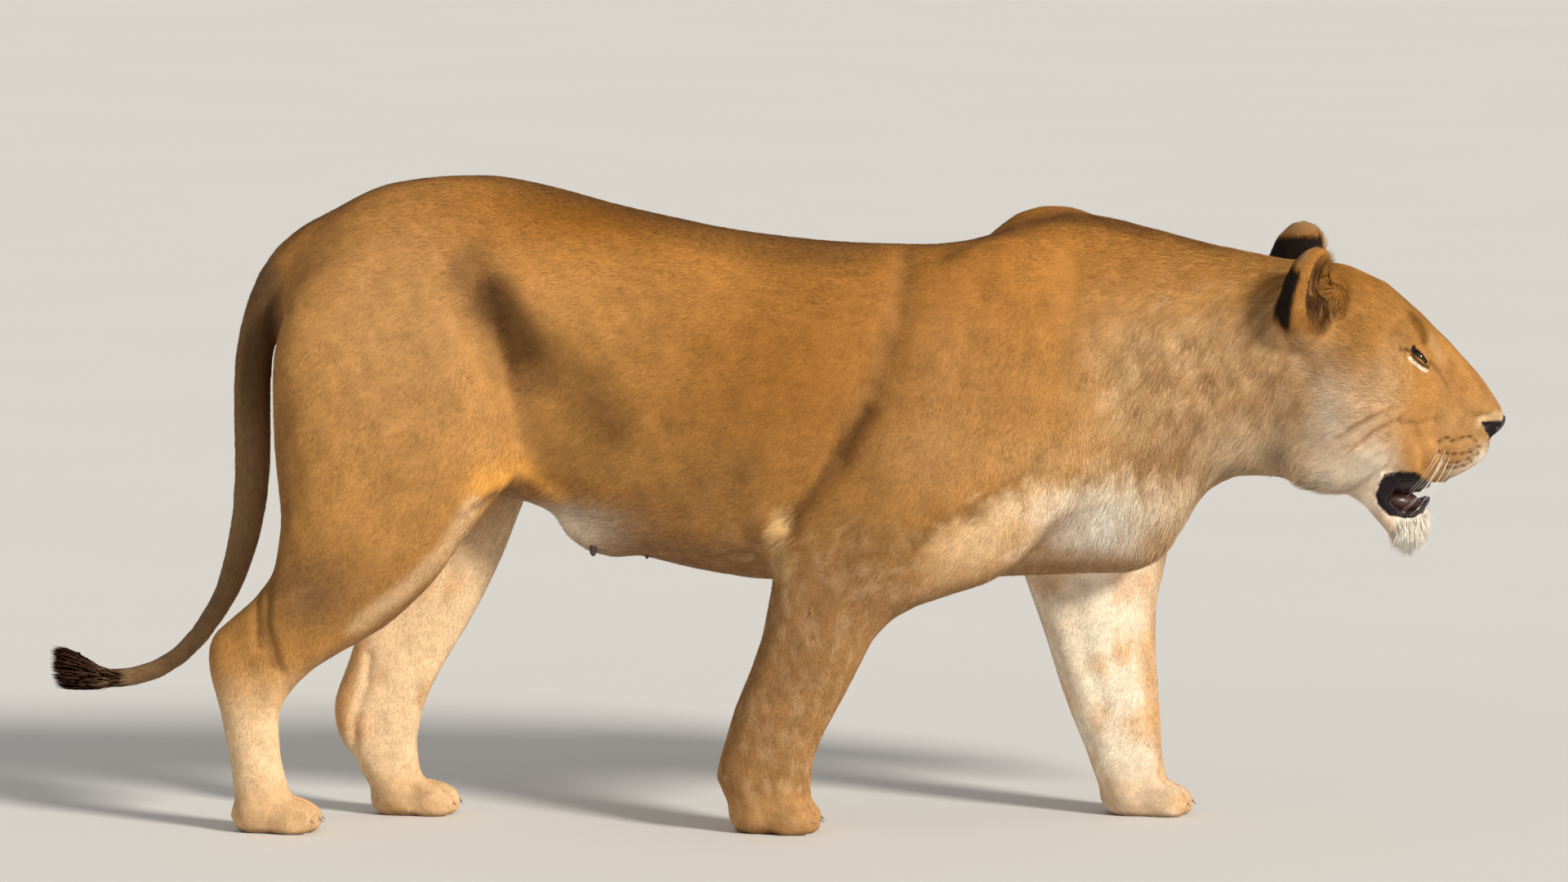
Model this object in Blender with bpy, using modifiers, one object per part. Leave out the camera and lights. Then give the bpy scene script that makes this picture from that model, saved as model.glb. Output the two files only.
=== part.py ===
"""A lioness walking, life size, as a still model in named pieces.

The frame is in metres with +Z up. The animal faces +X, its right side is -Y, and the origin lies on
the floor under the middle of its bounding box. Every size is taken to the tips of the coat.

The flesh is built from overlapping masses: lofts whose outline is given by named stations, and balls
for single muscles and bones. A voxel remesh makes the masses one skin, which is smoothed, thinned and
then parted by thin cuts into the pieces that a person would name. The ears, eyes, nose, tongue and tail
are made on their own and fitted to it.
"""

import math
from dataclasses import dataclass

import bmesh
import bpy
import numpy as np
from mathutils import Euler, Matrix, Vector

# Driving sizes
HEAD_ROLL = math.radians(4)  # the crown leans to the right side
HEAD_PIVOT = Vector((0.74, 0.0, 0.62))
GAP = 0.0003  # between pieces that meet
FORWARD = 0.0108  # from the tables below to the frame, so that its origin is under the middle

# Surface making
VOXEL = 0.0065
FINE_SMOOTHING = 4
BODY_SMOOTHING = 50
LEG_SHARE = 0.3  # of the body's smoothing
LEGS_BELOW_Z = 0.34
FINE_BEYOND_X = 0.80  # the head keeps its fine shape from here on
FINE_BELOW_Z = 0.075  # and so do the paws from here down
FINE_BLEND = 0.10
TRIANGLES = 3350
FINE_KEEPING = 0.0028  # how strongly the thinning spares the head and paws

# Coat and skin colours, as linear RGB
TAWNY = (0.47, 0.28, 0.12)
BLACK = (0.02, 0.016, 0.015)
AMBER = (0.42, 0.22, 0.05)
ROSE = (0.35, 0.12, 0.1)


@dataclass(frozen=True)
class Girth:
    """A section of the trunk, neck or head: an upright oval across the body at one x."""

    x: float
    top: float
    bottom: float
    half_width: float
    waist: float = 0.5  # height of the widest line, as a share of top to bottom
    crown: float = 2.0  # superellipse power of the upper half: under 2 is ridged, over 2 is boxy
    keel: float = 2.2  # the same for the lower half


@dataclass(frozen=True)
class Slice:
    """A level section of a leg: an oval at one height, from its back edge to its front edge."""

    z: float
    back: float
    front: float
    y: float
    half_width: float


@dataclass(frozen=True)
class Link:
    """A round section of the tail."""

    x: float
    y: float
    z: float
    radius: float


@dataclass(frozen=True)
class Ball:
    """A soft mass: centre, radii, and its turn about X, Y and Z in degrees."""

    centre: tuple
    radii: tuple
    turn: tuple = (0.0, 0.0, 0.0)


TRUNK = (
    Girth(-0.712, 0.790, 0.560, 0.042, 0.55),
    Girth(-0.690, 0.826, 0.520, 0.074, 0.60),
    Girth(-0.645, 0.872, 0.500, 0.104, 0.62),
    Girth(-0.585, 0.908, 0.485, 0.125, 0.62),
    Girth(-0.500, 0.925, 0.475, 0.136, 0.60),
    Girth(-0.420, 0.929, 0.470, 0.136, 0.58, 1.9),
    Girth(-0.335, 0.915, 0.446, 0.130, 0.52, 1.9),
    Girth(-0.250, 0.892, 0.400, 0.133, 0.48, 1.9),
    Girth(-0.150, 0.867, 0.368, 0.147, 0.46, 2.0),
    Girth(-0.050, 0.848, 0.350, 0.157, 0.46, 2.0),
    Girth(0.050, 0.836, 0.345, 0.159, 0.48, 2.0),
    Girth(0.150, 0.831, 0.345, 0.155, 0.50, 1.9),
    Girth(0.250, 0.834, 0.349, 0.144, 0.50, 1.8),
    Girth(0.330, 0.856, 0.352, 0.133, 0.48, 1.7),
    Girth(0.400, 0.874, 0.354, 0.124, 0.46, 1.7),
    Girth(0.460, 0.872, 0.358, 0.117, 0.46, 1.7),
    Girth(0.510, 0.860, 0.366, 0.112, 0.46, 1.8),
    Girth(0.555, 0.846, 0.396, 0.106, 0.50, 1.9),
    Girth(0.600, 0.833, 0.470, 0.099, 0.52, 2.0),
    Girth(0.645, 0.822, 0.494, 0.103, 0.52, 2.1),
    Girth(0.700, 0.811, 0.492, 0.103, 0.52, 2.2),
    Girth(0.770, 0.796, 0.484, 0.103, 0.50, 2.2),
)

# Right legs are the nearer ones, at -Y
RIGHT_FORELEG = (
    Slice(0.640, 0.125, 0.405, -0.103, 0.037),
    Slice(0.560, 0.085, 0.420, -0.112, 0.052),
    Slice(0.480, 0.020, 0.410, -0.120, 0.056),
    Slice(0.415, -0.012, 0.360, -0.121, 0.056),
    Slice(0.360, -0.020, 0.300, -0.120, 0.056),
    Slice(0.320, -0.026, 0.180, -0.116, 0.056),
    Slice(0.290, -0.031, 0.140, -0.113, 0.056),
    Slice(0.241, -0.046, 0.111, -0.109, 0.054),
    Slice(0.183, -0.070, 0.082, -0.103, 0.050),
    Slice(0.125, -0.087, 0.052, -0.098, 0.047),
    Slice(0.080, -0.098, 0.040, -0.095, 0.047),
    Slice(0.040, -0.080, 0.040, -0.094, 0.045),
)
LEFT_FORELEG = (
    Slice(0.660, 0.270, 0.470, 0.099, 0.035),
    Slice(0.580, 0.230, 0.540, 0.107, 0.048),
    Slice(0.500, 0.250, 0.562, 0.110, 0.054),
    Slice(0.430, 0.305, 0.562, 0.110, 0.056),
    Slice(0.370, 0.330, 0.552, 0.109, 0.056),
    Slice(0.311, 0.352, 0.538, 0.105, 0.054),
    Slice(0.241, 0.377, 0.535, 0.099, 0.051),
    Slice(0.183, 0.394, 0.539, 0.095, 0.048),
    Slice(0.125, 0.416, 0.542, 0.090, 0.047),
    Slice(0.075, 0.438, 0.545, 0.087, 0.046),
    Slice(0.040, 0.450, 0.550, 0.086, 0.044),
)
RIGHT_HINDLEG = (
    Slice(0.780, -0.690, -0.440, -0.074, 0.042),
    Slice(0.700, -0.722, -0.395, -0.090, 0.060),
    Slice(0.600, -0.727, -0.362, -0.099, 0.069),
    Slice(0.520, -0.722, -0.372, -0.107, 0.067),
    Slice(0.465, -0.716, -0.408, -0.110, 0.061),
    Slice(0.415, -0.716, -0.448, -0.112, 0.056),
    Slice(0.357, -0.732, -0.490, -0.110, 0.048),
    Slice(0.315, -0.772, -0.532, -0.107, 0.043),
    Slice(0.283, -0.812, -0.572, -0.103, 0.039),
    Slice(0.241, -0.818, -0.648, -0.099, 0.037),
    Slice(0.183, -0.803, -0.706, -0.095, 0.035),
    Slice(0.125, -0.791, -0.712, -0.092, 0.034),
    Slice(0.067, -0.781, -0.702, -0.090, 0.036),
    Slice(0.035, -0.776, -0.695, -0.090, 0.037),
)
LEFT_HINDLEG = (
    Slice(0.760, -0.660, -0.420, 0.074, 0.042),
    Slice(0.680, -0.680, -0.350, 0.090, 0.060),
    Slice(0.600, -0.670, -0.322, 0.099, 0.067),
    Slice(0.520, -0.650, -0.340, 0.105, 0.063),
    Slice(0.450, -0.620, -0.366, 0.106, 0.058),
    Slice(0.390, -0.607, -0.390, 0.104, 0.051),
    Slice(0.330, -0.606, -0.418, 0.101, 0.047),
    Slice(0.270, -0.614, -0.450, 0.098, 0.042),
    Slice(0.210, -0.630, -0.486, 0.094, 0.038),
    Slice(0.155, -0.650, -0.512, 0.091, 0.036),
    Slice(0.105, -0.638, -0.522, 0.089, 0.035),
    Slice(0.065, -0.610, -0.520, 0.088, 0.036),
    Slice(0.035, -0.590, -0.510, 0.088, 0.037),
)

TAIL = (
    Link(-0.620, 0.000, 0.852, 0.034),
    Link(-0.690, 0.000, 0.812, 0.034),
    Link(-0.727, 0.001, 0.757, 0.030),
    Link(-0.746, 0.002, 0.700, 0.029),
    Link(-0.754, 0.004, 0.640, 0.029),
    Link(-0.755, 0.006, 0.580, 0.029),
    Link(-0.755, 0.009, 0.520, 0.028),
    Link(-0.759, 0.012, 0.458, 0.026),
    Link(-0.769, 0.015, 0.404, 0.024),
    Link(-0.784, 0.018, 0.353, 0.021),
    Link(-0.803, 0.021, 0.310, 0.018),
    Link(-0.848, 0.025, 0.248, 0.016),
    Link(-0.902, 0.029, 0.212, 0.016),
    Link(-0.960, 0.033, 0.202, 0.017),
    Link(-0.990, 0.035, 0.208, 0.027),
    Link(-1.022, 0.036, 0.217, 0.031),
    Link(-1.048, 0.036, 0.219, 0.018),
)

# Where each foot stands: x of the heel pad, y, and how far the toes turn out in degrees
FOREPAW_PLACES = {"right": (-0.030, -0.094, -3.0), "left": (0.502, 0.087, 3.0)}
HINDPAW_PLACES = {"right": (-0.738, -0.090, -4.0), "left": (-0.548, 0.088, 4.0)}

# Muscle and bone that the lofts leave out. Right and left differ because the legs do.
BODY_MASSES = (
    Ball((0.290, -0.091, 0.700), (0.125, 0.038, 0.150), (-10, 14, 0)),  # right shoulder blade
    Ball((0.350, 0.086, 0.715), (0.115, 0.040, 0.165), (10, 8, 0)),  # left shoulder blade
    Ball((0.388, 0.047, 0.832), (0.088, 0.028, 0.056), (0, 4, 0)),  # its upper edge
    Ball((0.325, -0.060, 0.802), (0.085, 0.027, 0.046), (0, 4, 0)),  # right upper edge
    Ball((0.145, -0.116, 0.555), (0.095, 0.046, 0.175), (0, 36, 0)),  # right triceps
    Ball((0.310, 0.113, 0.560), (0.085, 0.046, 0.160), (0, 10, 0)),  # left triceps
    Ball((0.390, -0.082, 0.540), (0.110, 0.057, 0.100), (0, 0, 0)),  # right breast
    Ball((0.445, 0.073, 0.525), (0.110, 0.057, 0.120), (0, 0, 0)),  # left breast
    Ball((0.470, 0.000, 0.425), (0.095, 0.081, 0.070), (0, 0, 0)),  # brisket
    Ball((-0.560, -0.086, 0.670), (0.150, 0.055, 0.170), (0, 8, 0)),  # right rump muscle
    Ball((-0.540, 0.086, 0.670), (0.140, 0.055, 0.170), (0, -8, 0)),  # left rump muscle
    Ball((-0.450, -0.067, 0.858), (0.085, 0.038, 0.040), (0, 0, 0)),  # right hip bone
    Ball((-0.450, 0.067, 0.858), (0.085, 0.038, 0.040), (0, 0, 0)),  # left hip bone
    Ball((-0.262, 0.000, 0.412), (0.065, 0.049, 0.030), (0, 20, 0)),  # udder
    Ball((-0.662, 0.000, 0.808), (0.046, 0.042, 0.048), (0, 40, 0)),  # root of the tail
)

# The head, before its roll. Cranium, face and muzzle run nose down along +X.
SKULL = (
    Girth(0.690, 0.802, 0.515, 0.100, 0.50),
    Girth(0.735, 0.806, 0.498, 0.112, 0.50, 2.3),
    Girth(0.780, 0.803, 0.486, 0.120, 0.46, 2.4),
    Girth(0.820, 0.789, 0.484, 0.117, 0.43, 2.4),
    Girth(0.855, 0.768, 0.490, 0.104, 0.40, 2.3),
    Girth(0.888, 0.742, 0.494, 0.086, 0.36, 2.0, 2.6),
    Girth(0.920, 0.713, 0.488, 0.069, 0.33, 1.9, 2.8),
    Girth(0.955, 0.676, 0.490, 0.059, 0.33, 2.1, 2.8),
    Girth(0.985, 0.641, 0.500, 0.052, 0.38, 2.5, 2.8),
    Girth(1.006, 0.615, 0.518, 0.043, 0.46, 2.6, 2.6),
    Girth(1.021, 0.593, 0.544, 0.027, 0.52, 2.6, 2.4),
)
BRIDGE = (
    Girth(0.800, 0.793, 0.680, 0.068, 0.5, 2.6),
    Girth(0.850, 0.774, 0.650, 0.062, 0.5, 2.8),
    Girth(0.890, 0.742, 0.620, 0.052, 0.5, 3.0),
    Girth(0.930, 0.705, 0.580, 0.040, 0.5, 3.0),
    Girth(0.970, 0.661, 0.560, 0.035, 0.5, 3.0),
    Girth(1.003, 0.621, 0.545, 0.031, 0.5, 2.8),
    Girth(1.019, 0.597, 0.550, 0.024, 0.5, 2.6),
)
JAW = (
    Girth(0.780, 0.540, 0.478, 0.078, 0.5),
    Girth(0.815, 0.525, 0.462, 0.074, 0.5),
    Girth(0.842, 0.508, 0.434, 0.068, 0.5),
    Girth(0.862, 0.468, 0.408, 0.058, 0.5, 2.4),
    Girth(0.882, 0.450, 0.396, 0.050, 0.5, 2.6),
    Girth(0.902, 0.456, 0.396, 0.043, 0.5, 2.6),
    Girth(0.918, 0.457, 0.416, 0.028, 0.5, 2.4),
)
HEAD_SIDE_MASSES = (
    Ball((0.800, 0.078, 0.598), (0.080, 0.050, 0.100), (0, 0, 0)),  # cheek
    Ball((0.850, 0.076, 0.628), (0.056, 0.034, 0.036), (0, 30, -24)),  # cheek bone
    Ball((0.862, 0.046, 0.706), (0.052, 0.034, 0.026), (0, 40, -16)),  # brow
    Ball((0.950, 0.034, 0.539), (0.052, 0.031, 0.046), (0, 0, -8)),  # whisker pad
    Ball((0.896, 0.054, 0.545), (0.058, 0.025, 0.050), (0, 0, -14)),  # upper lip
    Ball((0.768, 0.072, 0.538), (0.075, 0.044, 0.062), (0, 0, 0)),  # ruff behind the jaw
    Ball((0.736, 0.070, 0.712), (0.058, 0.038, 0.066), (0, -14, -20)),  # ear root
    Ball((0.836, 0.058, 0.498), (0.036, 0.018, 0.040), (0, 40, -8)),  # corner of the mouth
)
HEAD_MIDDLE_MASSES = (
    Ball((0.765, 0.0, 0.690), (0.105, 0.104, 0.108)),  # cranium
    Ball((0.888, 0.0, 0.422), (0.033, 0.046, 0.035)),  # chin
    Ball((0.770, 0.0, 0.525), (0.080, 0.080, 0.045)),  # floor of the jaw
)

# Fitted pieces, before the roll of the head
EARS = {
    # side: shell, hollow cut from it, and foot that joins it to the head
    "left": (
        Ball((0.734, 0.102, 0.772), (0.056, 0.034, 0.075), (-14, -4, -42)),
        Ball((0.756, 0.125, 0.784), (0.047, 0.027, 0.062), (-14, -4, -42)),
        Ball((0.748, 0.087, 0.728), (0.048, 0.031, 0.044), (-14, -4, -40)),
    ),
    "right": (
        Ball((0.737, 0.101, 0.770), (0.056, 0.036, 0.075), (-14, -4, -60)),
        Ball((0.765, 0.116, 0.782), (0.047, 0.028, 0.062), (-14, -4, -60)),
        Ball((0.746, 0.089, 0.728), (0.047, 0.033, 0.044), (-14, -4, -58)),
    ),
}
EYE = Ball((0.894, 0.056, 0.675), (0.0185, 0.0185, 0.0185))
NOSE = Ball((1.005, 0.0, 0.564), (0.0235, 0.036, 0.0225), (0, 24, 0))
TONGUE = Ball((0.868, 0.0, 0.470), (0.044, 0.029, 0.020), (0, 14, 0))

# The parting of the flesh, in the order of cutting. Each outline is in X and Z.
SIDEWAYS = 0.40  # beyond the widest flesh


@dataclass(frozen=True)
class Parting:
    """A piece of flesh: all that is inside an outline, from one y to another."""

    name: str
    outline: tuple
    y_low: float = -SIDEWAYS
    y_high: float = SIDEWAYS


PARTINGS = (
    Parting("right_forepaw", ((-0.25, -0.1), (0.25, -0.1), (0.25, 0.065), (-0.25, 0.105)), y_high=0.0),
    Parting("right_forearm", ((-0.25, -0.1), (0.26, -0.1), (0.40, 0.338), (-0.15, 0.338)), y_high=0.0),
    Parting("left_forepaw", ((0.30, -0.1), (0.80, -0.1), (0.80, 0.055), (0.30, 0.105)), y_low=0.0),
    Parting("left_forearm", ((0.20, -0.1), (0.80, -0.1), (0.80, 0.338), (0.20, 0.338)), y_low=0.0),
    Parting("right_hindpaw", ((-1.0, -0.1), (-0.5, -0.1), (-0.5, 0.070), (-1.0, 0.090)), y_high=0.0),
    Parting("right_hock", ((-1.0, -0.1), (-0.5, -0.1), (-0.5, 0.190), (-1.0, 0.360)), y_high=0.0),
    Parting("right_shank", ((-1.0, -0.1), (-0.42, -0.1), (-0.42, 0.412), (-1.0, 0.455)), y_high=0.0),
    Parting("left_hindpaw", ((-0.9, -0.1), (-0.3, -0.1), (-0.3, 0.065), (-0.9, 0.085)), y_low=0.0),
    Parting("left_hock", ((-0.9, -0.1), (-0.36, -0.1), (-0.36, 0.078), (-0.9, 0.280)), y_low=0.0),
    Parting("left_shank", ((-0.9, -0.1), (-0.36, -0.1), (-0.36, 0.382), (-0.9, 0.430)), y_low=0.0),
    Parting(
        "lower_jaw",
        (
            (0.775, 0.30),
            (1.1, 0.30),
            (1.1, 0.460),
            (0.925, 0.468),
            (0.845, 0.503),
            (0.800, 0.485),
            (0.775, 0.455),
        ),
    ),
    Parting(
        "head",
        ((0.66, 1.1), (0.695, 0.84), (0.725, 0.66), (0.780, 0.50), (0.800, 0.30), (1.3, 0.30), (1.3, 1.1)),
    ),
    Parting("neck", ((0.345, 1.1), (0.600, 0.39), (1.3, 0.39), (1.3, 1.1))),
    Parting(
        "right_thigh",
        (
            (-0.355, 0.35),
            (-0.345, 0.48),
            (-0.330, 0.57),
            (-0.355, 0.70),
            (-0.430, 0.795),
            (-0.550, 0.840),
            (-0.655, 0.800),
            (-0.800, 0.72),
            (-0.900, 0.35),
        ),
        y_high=-0.052,
    ),
    Parting(
        "left_thigh",
        (
            (-0.345, 0.33),
            (-0.325, 0.48),
            (-0.305, 0.57),
            (-0.330, 0.70),
            (-0.410, 0.795),
            (-0.530, 0.840),
            (-0.640, 0.800),
            (-0.800, 0.72),
            (-0.900, 0.33),
        ),
        y_low=0.052,
    ),
    Parting(
        "right_upper_arm",
        (
            (-0.10, 0.30),
            (0.34, 0.30),
            (0.42, 0.45),
            (0.47, 0.58),
            (0.45, 0.70),
            (0.385, 0.80),
            (0.300, 0.845),
            (0.200, 0.815),
            (0.165, 0.73),
            (0.116, 0.612),
            (0.070, 0.520),
            (0.000, 0.455),
            (-0.06, 0.420),
        ),
        y_high=-0.060,
    ),
    Parting(
        "left_upper_arm",
        (
            (0.28, 0.30),
            (0.70, 0.30),
            (0.62, 0.58),
            (0.52, 0.70),
            (0.450, 0.80),
            (0.360, 0.850),
            (0.275, 0.815),
            (0.245, 0.700),
            (0.225, 0.580),
            (0.235, 0.450),
        ),
        y_low=0.060,
    ),
    Parting("rump", ((-1.2, 1.1), (-0.335, 1.1), (-0.375, 0.30), (-1.2, 0.30))),
    Parting("belly", ((-0.6, 1.1), (0.035, 1.1), (-0.050, 0.30), (-0.6, 0.30))),
    Parting("chest", ((-0.3, 1.1), (0.9, 1.1), (0.9, 0.20), (-0.3, 0.20))),
)
TAIL_PARTINGS = (
    Parting("tail_base", ((-0.9, 1.0), (-0.5, 1.0), (-0.5, 0.640), (-0.9, 0.640))),
    Parting("tail_middle", ((-0.9, 1.0), (-0.5, 1.0), (-0.5, 0.300), (-0.9, 0.470))),
    Parting("tail_end", ((-0.955, 1.0), (-0.5, 1.0), (-0.5, 0.1), (-0.955, 0.1))),
    Parting("tail_tuft", ((-1.2, 1.0), (-0.5, 1.0), (-0.5, 0.1), (-1.2, 0.1))),
)


# Making meshes


def clear_scene():
    """Removes the objects that the scene starts with."""
    for obj in list(bpy.data.objects):
        bpy.data.objects.remove(obj)


def new_collection(name):
    made = bpy.data.collections.new(name)
    bpy.context.scene.collection.children.link(made)
    return made


def new_material(name, colour, roughness):
    made = bpy.data.materials.new(name)
    made.use_nodes = True
    shader = made.node_tree.nodes["Principled BSDF"]
    shader.inputs["Base Color"].default_value = (*colour, 1.0)
    shader.inputs["Roughness"].default_value = roughness
    shader.inputs["Metallic"].default_value = 0.0
    return made


def object_of(bm, name, collection):
    """Ends a bmesh as an object, with its faces pointing out."""
    bmesh.ops.recalc_face_normals(bm, faces=bm.faces)
    mesh = bpy.data.meshes.new(name)
    bm.to_mesh(mesh)
    bm.free()
    obj = bpy.data.objects.new(name, mesh)
    collection.objects.link(obj)
    return obj


def track(knots, values, at):
    """Values read from a smooth curve through the knots (Catmull-Rom)."""
    knots, values = np.asarray(knots, float), np.asarray(values, float)
    slopes = np.gradient(values, knots, axis=0)
    i = np.clip(np.searchsorted(knots, at, side="right") - 1, 0, len(knots) - 2)
    span = knots[i + 1] - knots[i]
    t = (at - knots[i]) / span
    shape = (slice(None),) + (None,) * (values.ndim - 1)
    t, span = t[shape], span[shape]
    return (
        (2 * t**3 - 3 * t**2 + 1) * values[i]
        + (t**3 - 2 * t**2 + t) * span * slopes[i]
        + (3 * t**2 - 2 * t**3) * values[i + 1]
        + (t**3 - t**2) * span * slopes[i + 1]
    )


def skin_rings(bm, rings):
    """Joins rings of points into a closed tube with a fan at each end."""
    made = [[bm.verts.new(p) for p in ring] for ring in rings]
    around = len(made[0])
    for a, b in zip(made, made[1:]):
        for k in range(around):
            n = (k + 1) % around
            bm.faces.new((a[k], a[n], b[n], b[k]))
    for ring in (made[0], made[-1]):
        middle = bm.verts.new(sum((v.co for v in ring), Vector()) / around)
        for k in range(around):
            bm.faces.new((ring[k], ring[(k + 1) % around], middle))


def power(value, exponent):
    """A signed power, which squares off or ridges a circle."""
    return math.copysign(abs(value) ** exponent, value)


def girth_loft(bm, stations, steps=60, around=36):
    """A loft along X through upright ovals."""
    rows = [(s.top, s.bottom, s.half_width, s.waist, s.crown, s.keel) for s in stations]
    xs = np.linspace(stations[0].x, stations[-1].x, steps)
    rings = []
    for x, row in zip(xs, track([s.x for s in stations], rows, xs)):
        top, bottom, half_width, waist, crown, keel = row
        middle = bottom + (top - bottom) * waist
        ring = []
        for k in range(around):
            angle = 2 * math.pi * k / around
            up, side = math.cos(angle), math.sin(angle)
            soft = 2 / (crown if up > 0 else keel)
            reach = top - middle if up > 0 else middle - bottom
            ring.append((x, half_width * power(side, soft), middle + reach * power(up, soft)))
        rings.append(ring)
    skin_rings(bm, rings)


def slice_loft(bm, stations, steps=48, around=28, squareness=2.3):
    """A loft up Z through level ovals."""
    stations = sorted(stations, key=lambda s: s.z)
    rows = [(s.back, s.front, s.y, s.half_width) for s in stations]
    zs = np.linspace(stations[0].z, stations[-1].z, steps)
    rings = []
    for z, (back, front, y, half_width) in zip(zs, track([s.z for s in stations], rows, zs)):
        middle, reach = (back + front) / 2, (front - back) / 2
        soft = 2 / squareness
        rings.append(
            [
                (middle + reach * power(math.cos(a), soft), y + half_width * power(math.sin(a), soft), z)
                for a in (2 * math.pi * k / around for k in range(around))
            ]
        )
    skin_rings(bm, rings)


def link_sweep(bm, links, steps=60, around=16):
    """A tube of changing radius along a smooth path."""
    at = np.linspace(0, len(links) - 1, steps)
    rows = track(range(len(links)), [(k.x, k.y, k.z, k.radius) for k in links], at)
    centres = [Vector(r[:3]) for r in rows]
    rings = []
    for i, centre in enumerate(centres):
        along = centres[min(i + 1, steps - 1)] - centres[max(i - 1, 0)]
        side = Vector((0, 1, 0))
        up = along.cross(side).normalized()
        side = up.cross(along).normalized()
        rings.append(
            [
                centre + (math.cos(a) * up + math.sin(a) * side) * float(rows[i][3])
                for a in (2 * math.pi * k / around for k in range(around))
            ]
        )
    skin_rings(bm, rings)


def add_ball(bm, ball, mirror=False, segments=24):
    """A squashed, turned sphere."""
    turn = Euler([math.radians(a) for a in ball.turn]).to_matrix().to_4x4()
    place = Matrix.Translation(ball.centre) @ turn @ Matrix.Diagonal((*ball.radii, 1.0))
    if mirror:
        place = Matrix.Diagonal((1, -1, 1, 1)) @ place
    bmesh.ops.create_uvsphere(bm, u_segments=segments, v_segments=segments // 2, radius=1.0, matrix=place)


def add_paw(bm, place, toe_reach, toe_width, heel_radii):
    """A heel pad and four toes. They start a little under the floor, which then cuts them flat."""
    x, y, splay = place
    turn = math.radians(splay)
    add_ball(bm, Ball((x, y, heel_radii[2] * 0.72), heel_radii))
    for k in (-1.5, -0.5, 0.5, 1.5):
        ahead = toe_reach - 0.010 * abs(k)
        aside = toe_width * k
        centre = (
            x + ahead * math.cos(turn) - aside * math.sin(turn),
            y + ahead * math.sin(turn) + aside * math.cos(turn),
            0.021,
        )
        add_ball(bm, Ball(centre, (0.038, toe_width * 0.80, 0.027), (0, 8, splay + 5 * k)))


def bake_modifiers(obj):
    """Replaces an object's mesh by what its modifiers make of it."""
    bpy.context.view_layer.update()
    graph = bpy.context.evaluated_depsgraph_get()
    made = bpy.data.meshes.new_from_object(obj.evaluated_get(graph), depsgraph=graph)
    obj.modifiers.clear()
    old, obj.data = obj.data, made
    bpy.data.meshes.remove(old)


def add_group(obj, name, weights):
    """Gives an object a vertex group with one weight for each point."""
    group = obj.vertex_groups.new(name=name)
    for i, weight in enumerate(weights):
        group.add([i], float(weight), "REPLACE")
    return name


def one_skin(obj):
    """Makes the masses one skin, smooths it and thins it, all less on the head and paws."""
    remesh = obj.modifiers.new("one skin", "REMESH")
    remesh.mode = "VOXEL"
    remesh.voxel_size = VOXEL
    bake_modifiers(obj)

    points = np.array([v.co for v in obj.data.vertices])
    past_head = (points[:, 0] - FINE_BEYOND_X) / FINE_BLEND + 1
    past_paws = (FINE_BELOW_Z - points[:, 2]) / FINE_BLEND + 1
    on_legs = np.clip((LEGS_BELOW_Z - points[:, 2]) / FINE_BLEND + 1, 0, 1)
    weights = np.clip(1 - np.maximum(past_head, past_paws), 0.02, 1 - (1 - LEG_SHARE) * on_legs)
    plain = add_group(obj, "plain", weights)

    fine = obj.modifiers.new("smooth all", "SMOOTH")
    fine.iterations = FINE_SMOOTHING
    broad = obj.modifiers.new("smooth the body", "SMOOTH")
    broad.iterations = BODY_SMOOTHING
    broad.vertex_group = plain
    thin = obj.modifiers.new("thin", "DECIMATE")
    thin.ratio = TRIANGLES / (2 * len(obj.data.polygons))
    thin.vertex_group = plain
    thin.vertex_group_factor = FINE_KEEPING
    bake_modifiers(obj)
    obj.vertex_groups.clear()
    return obj


# Cutting


def region(parting, cutters, grow=0.0):
    """A hidden prism over the outline of a parting, larger all round by some distance."""
    corners = [Vector(p) for p in parting.outline]
    area = sum(a.x * b.y - b.x * a.y for a, b in zip(corners, corners[1:] + corners[:1]))
    outward = 1 if area > 0 else -1
    ring = []
    for k, corner in enumerate(corners):
        before = (corner - corners[k - 1]).normalized()
        after = (corners[(k + 1) % len(corners)] - corner).normalized()
        out = Vector((before.y, -before.x)) + Vector((after.y, -after.x))
        ring.append(corner + out * (outward * grow / (1 + before.dot(after))))
    bm = bmesh.new()
    face = bm.faces.new([bm.verts.new((p.x, parting.y_low - grow, p.y)) for p in ring])
    side = bmesh.ops.extrude_face_region(bm, geom=[face])["geom"]
    through = Vector((0, parting.y_high - parting.y_low + 2 * grow, 0))
    bmesh.ops.translate(bm, vec=through, verts=[v for v in side if isinstance(v, bmesh.types.BMVert)])
    return hidden(object_of(bm, f"{parting.name}_region", cutters))


def hidden(obj):
    obj.hide_render = True
    obj.display_type = "WIRE"
    return obj


def copy_of(obj, name, collection):
    made = bpy.data.objects.new(name, obj.data.copy())
    collection.objects.link(made)
    return made


def combine(obj, operation, other):
    """Cuts one object by another and keeps the largest body."""
    cut = obj.modifiers.new(f"{operation.lower()} {other.name}", "BOOLEAN")
    cut.operation = operation
    cut.object = other
    cut.solver = "EXACT"
    bake_modifiers(obj)
    keep_largest_body(obj)
    return obj


def keep_largest_body(obj):
    """Drops the crumbs that a cut may leave."""
    bm = bmesh.new()
    bm.from_mesh(obj.data)
    left = set(bm.verts)
    bodies = []
    while left:
        body, edge = set(), [left.pop()]
        while edge:
            vert = edge.pop()
            body.add(vert)
            for link in vert.link_edges:
                other = link.other_vert(vert)
                if other in left:
                    left.discard(other)
                    edge.append(other)
        bodies.append(body)
    largest = max(bodies, key=len)
    bmesh.ops.delete(bm, geom=[v for v in bm.verts if v not in largest], context="VERTS")
    bm.to_mesh(obj.data)
    bm.free()


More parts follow.
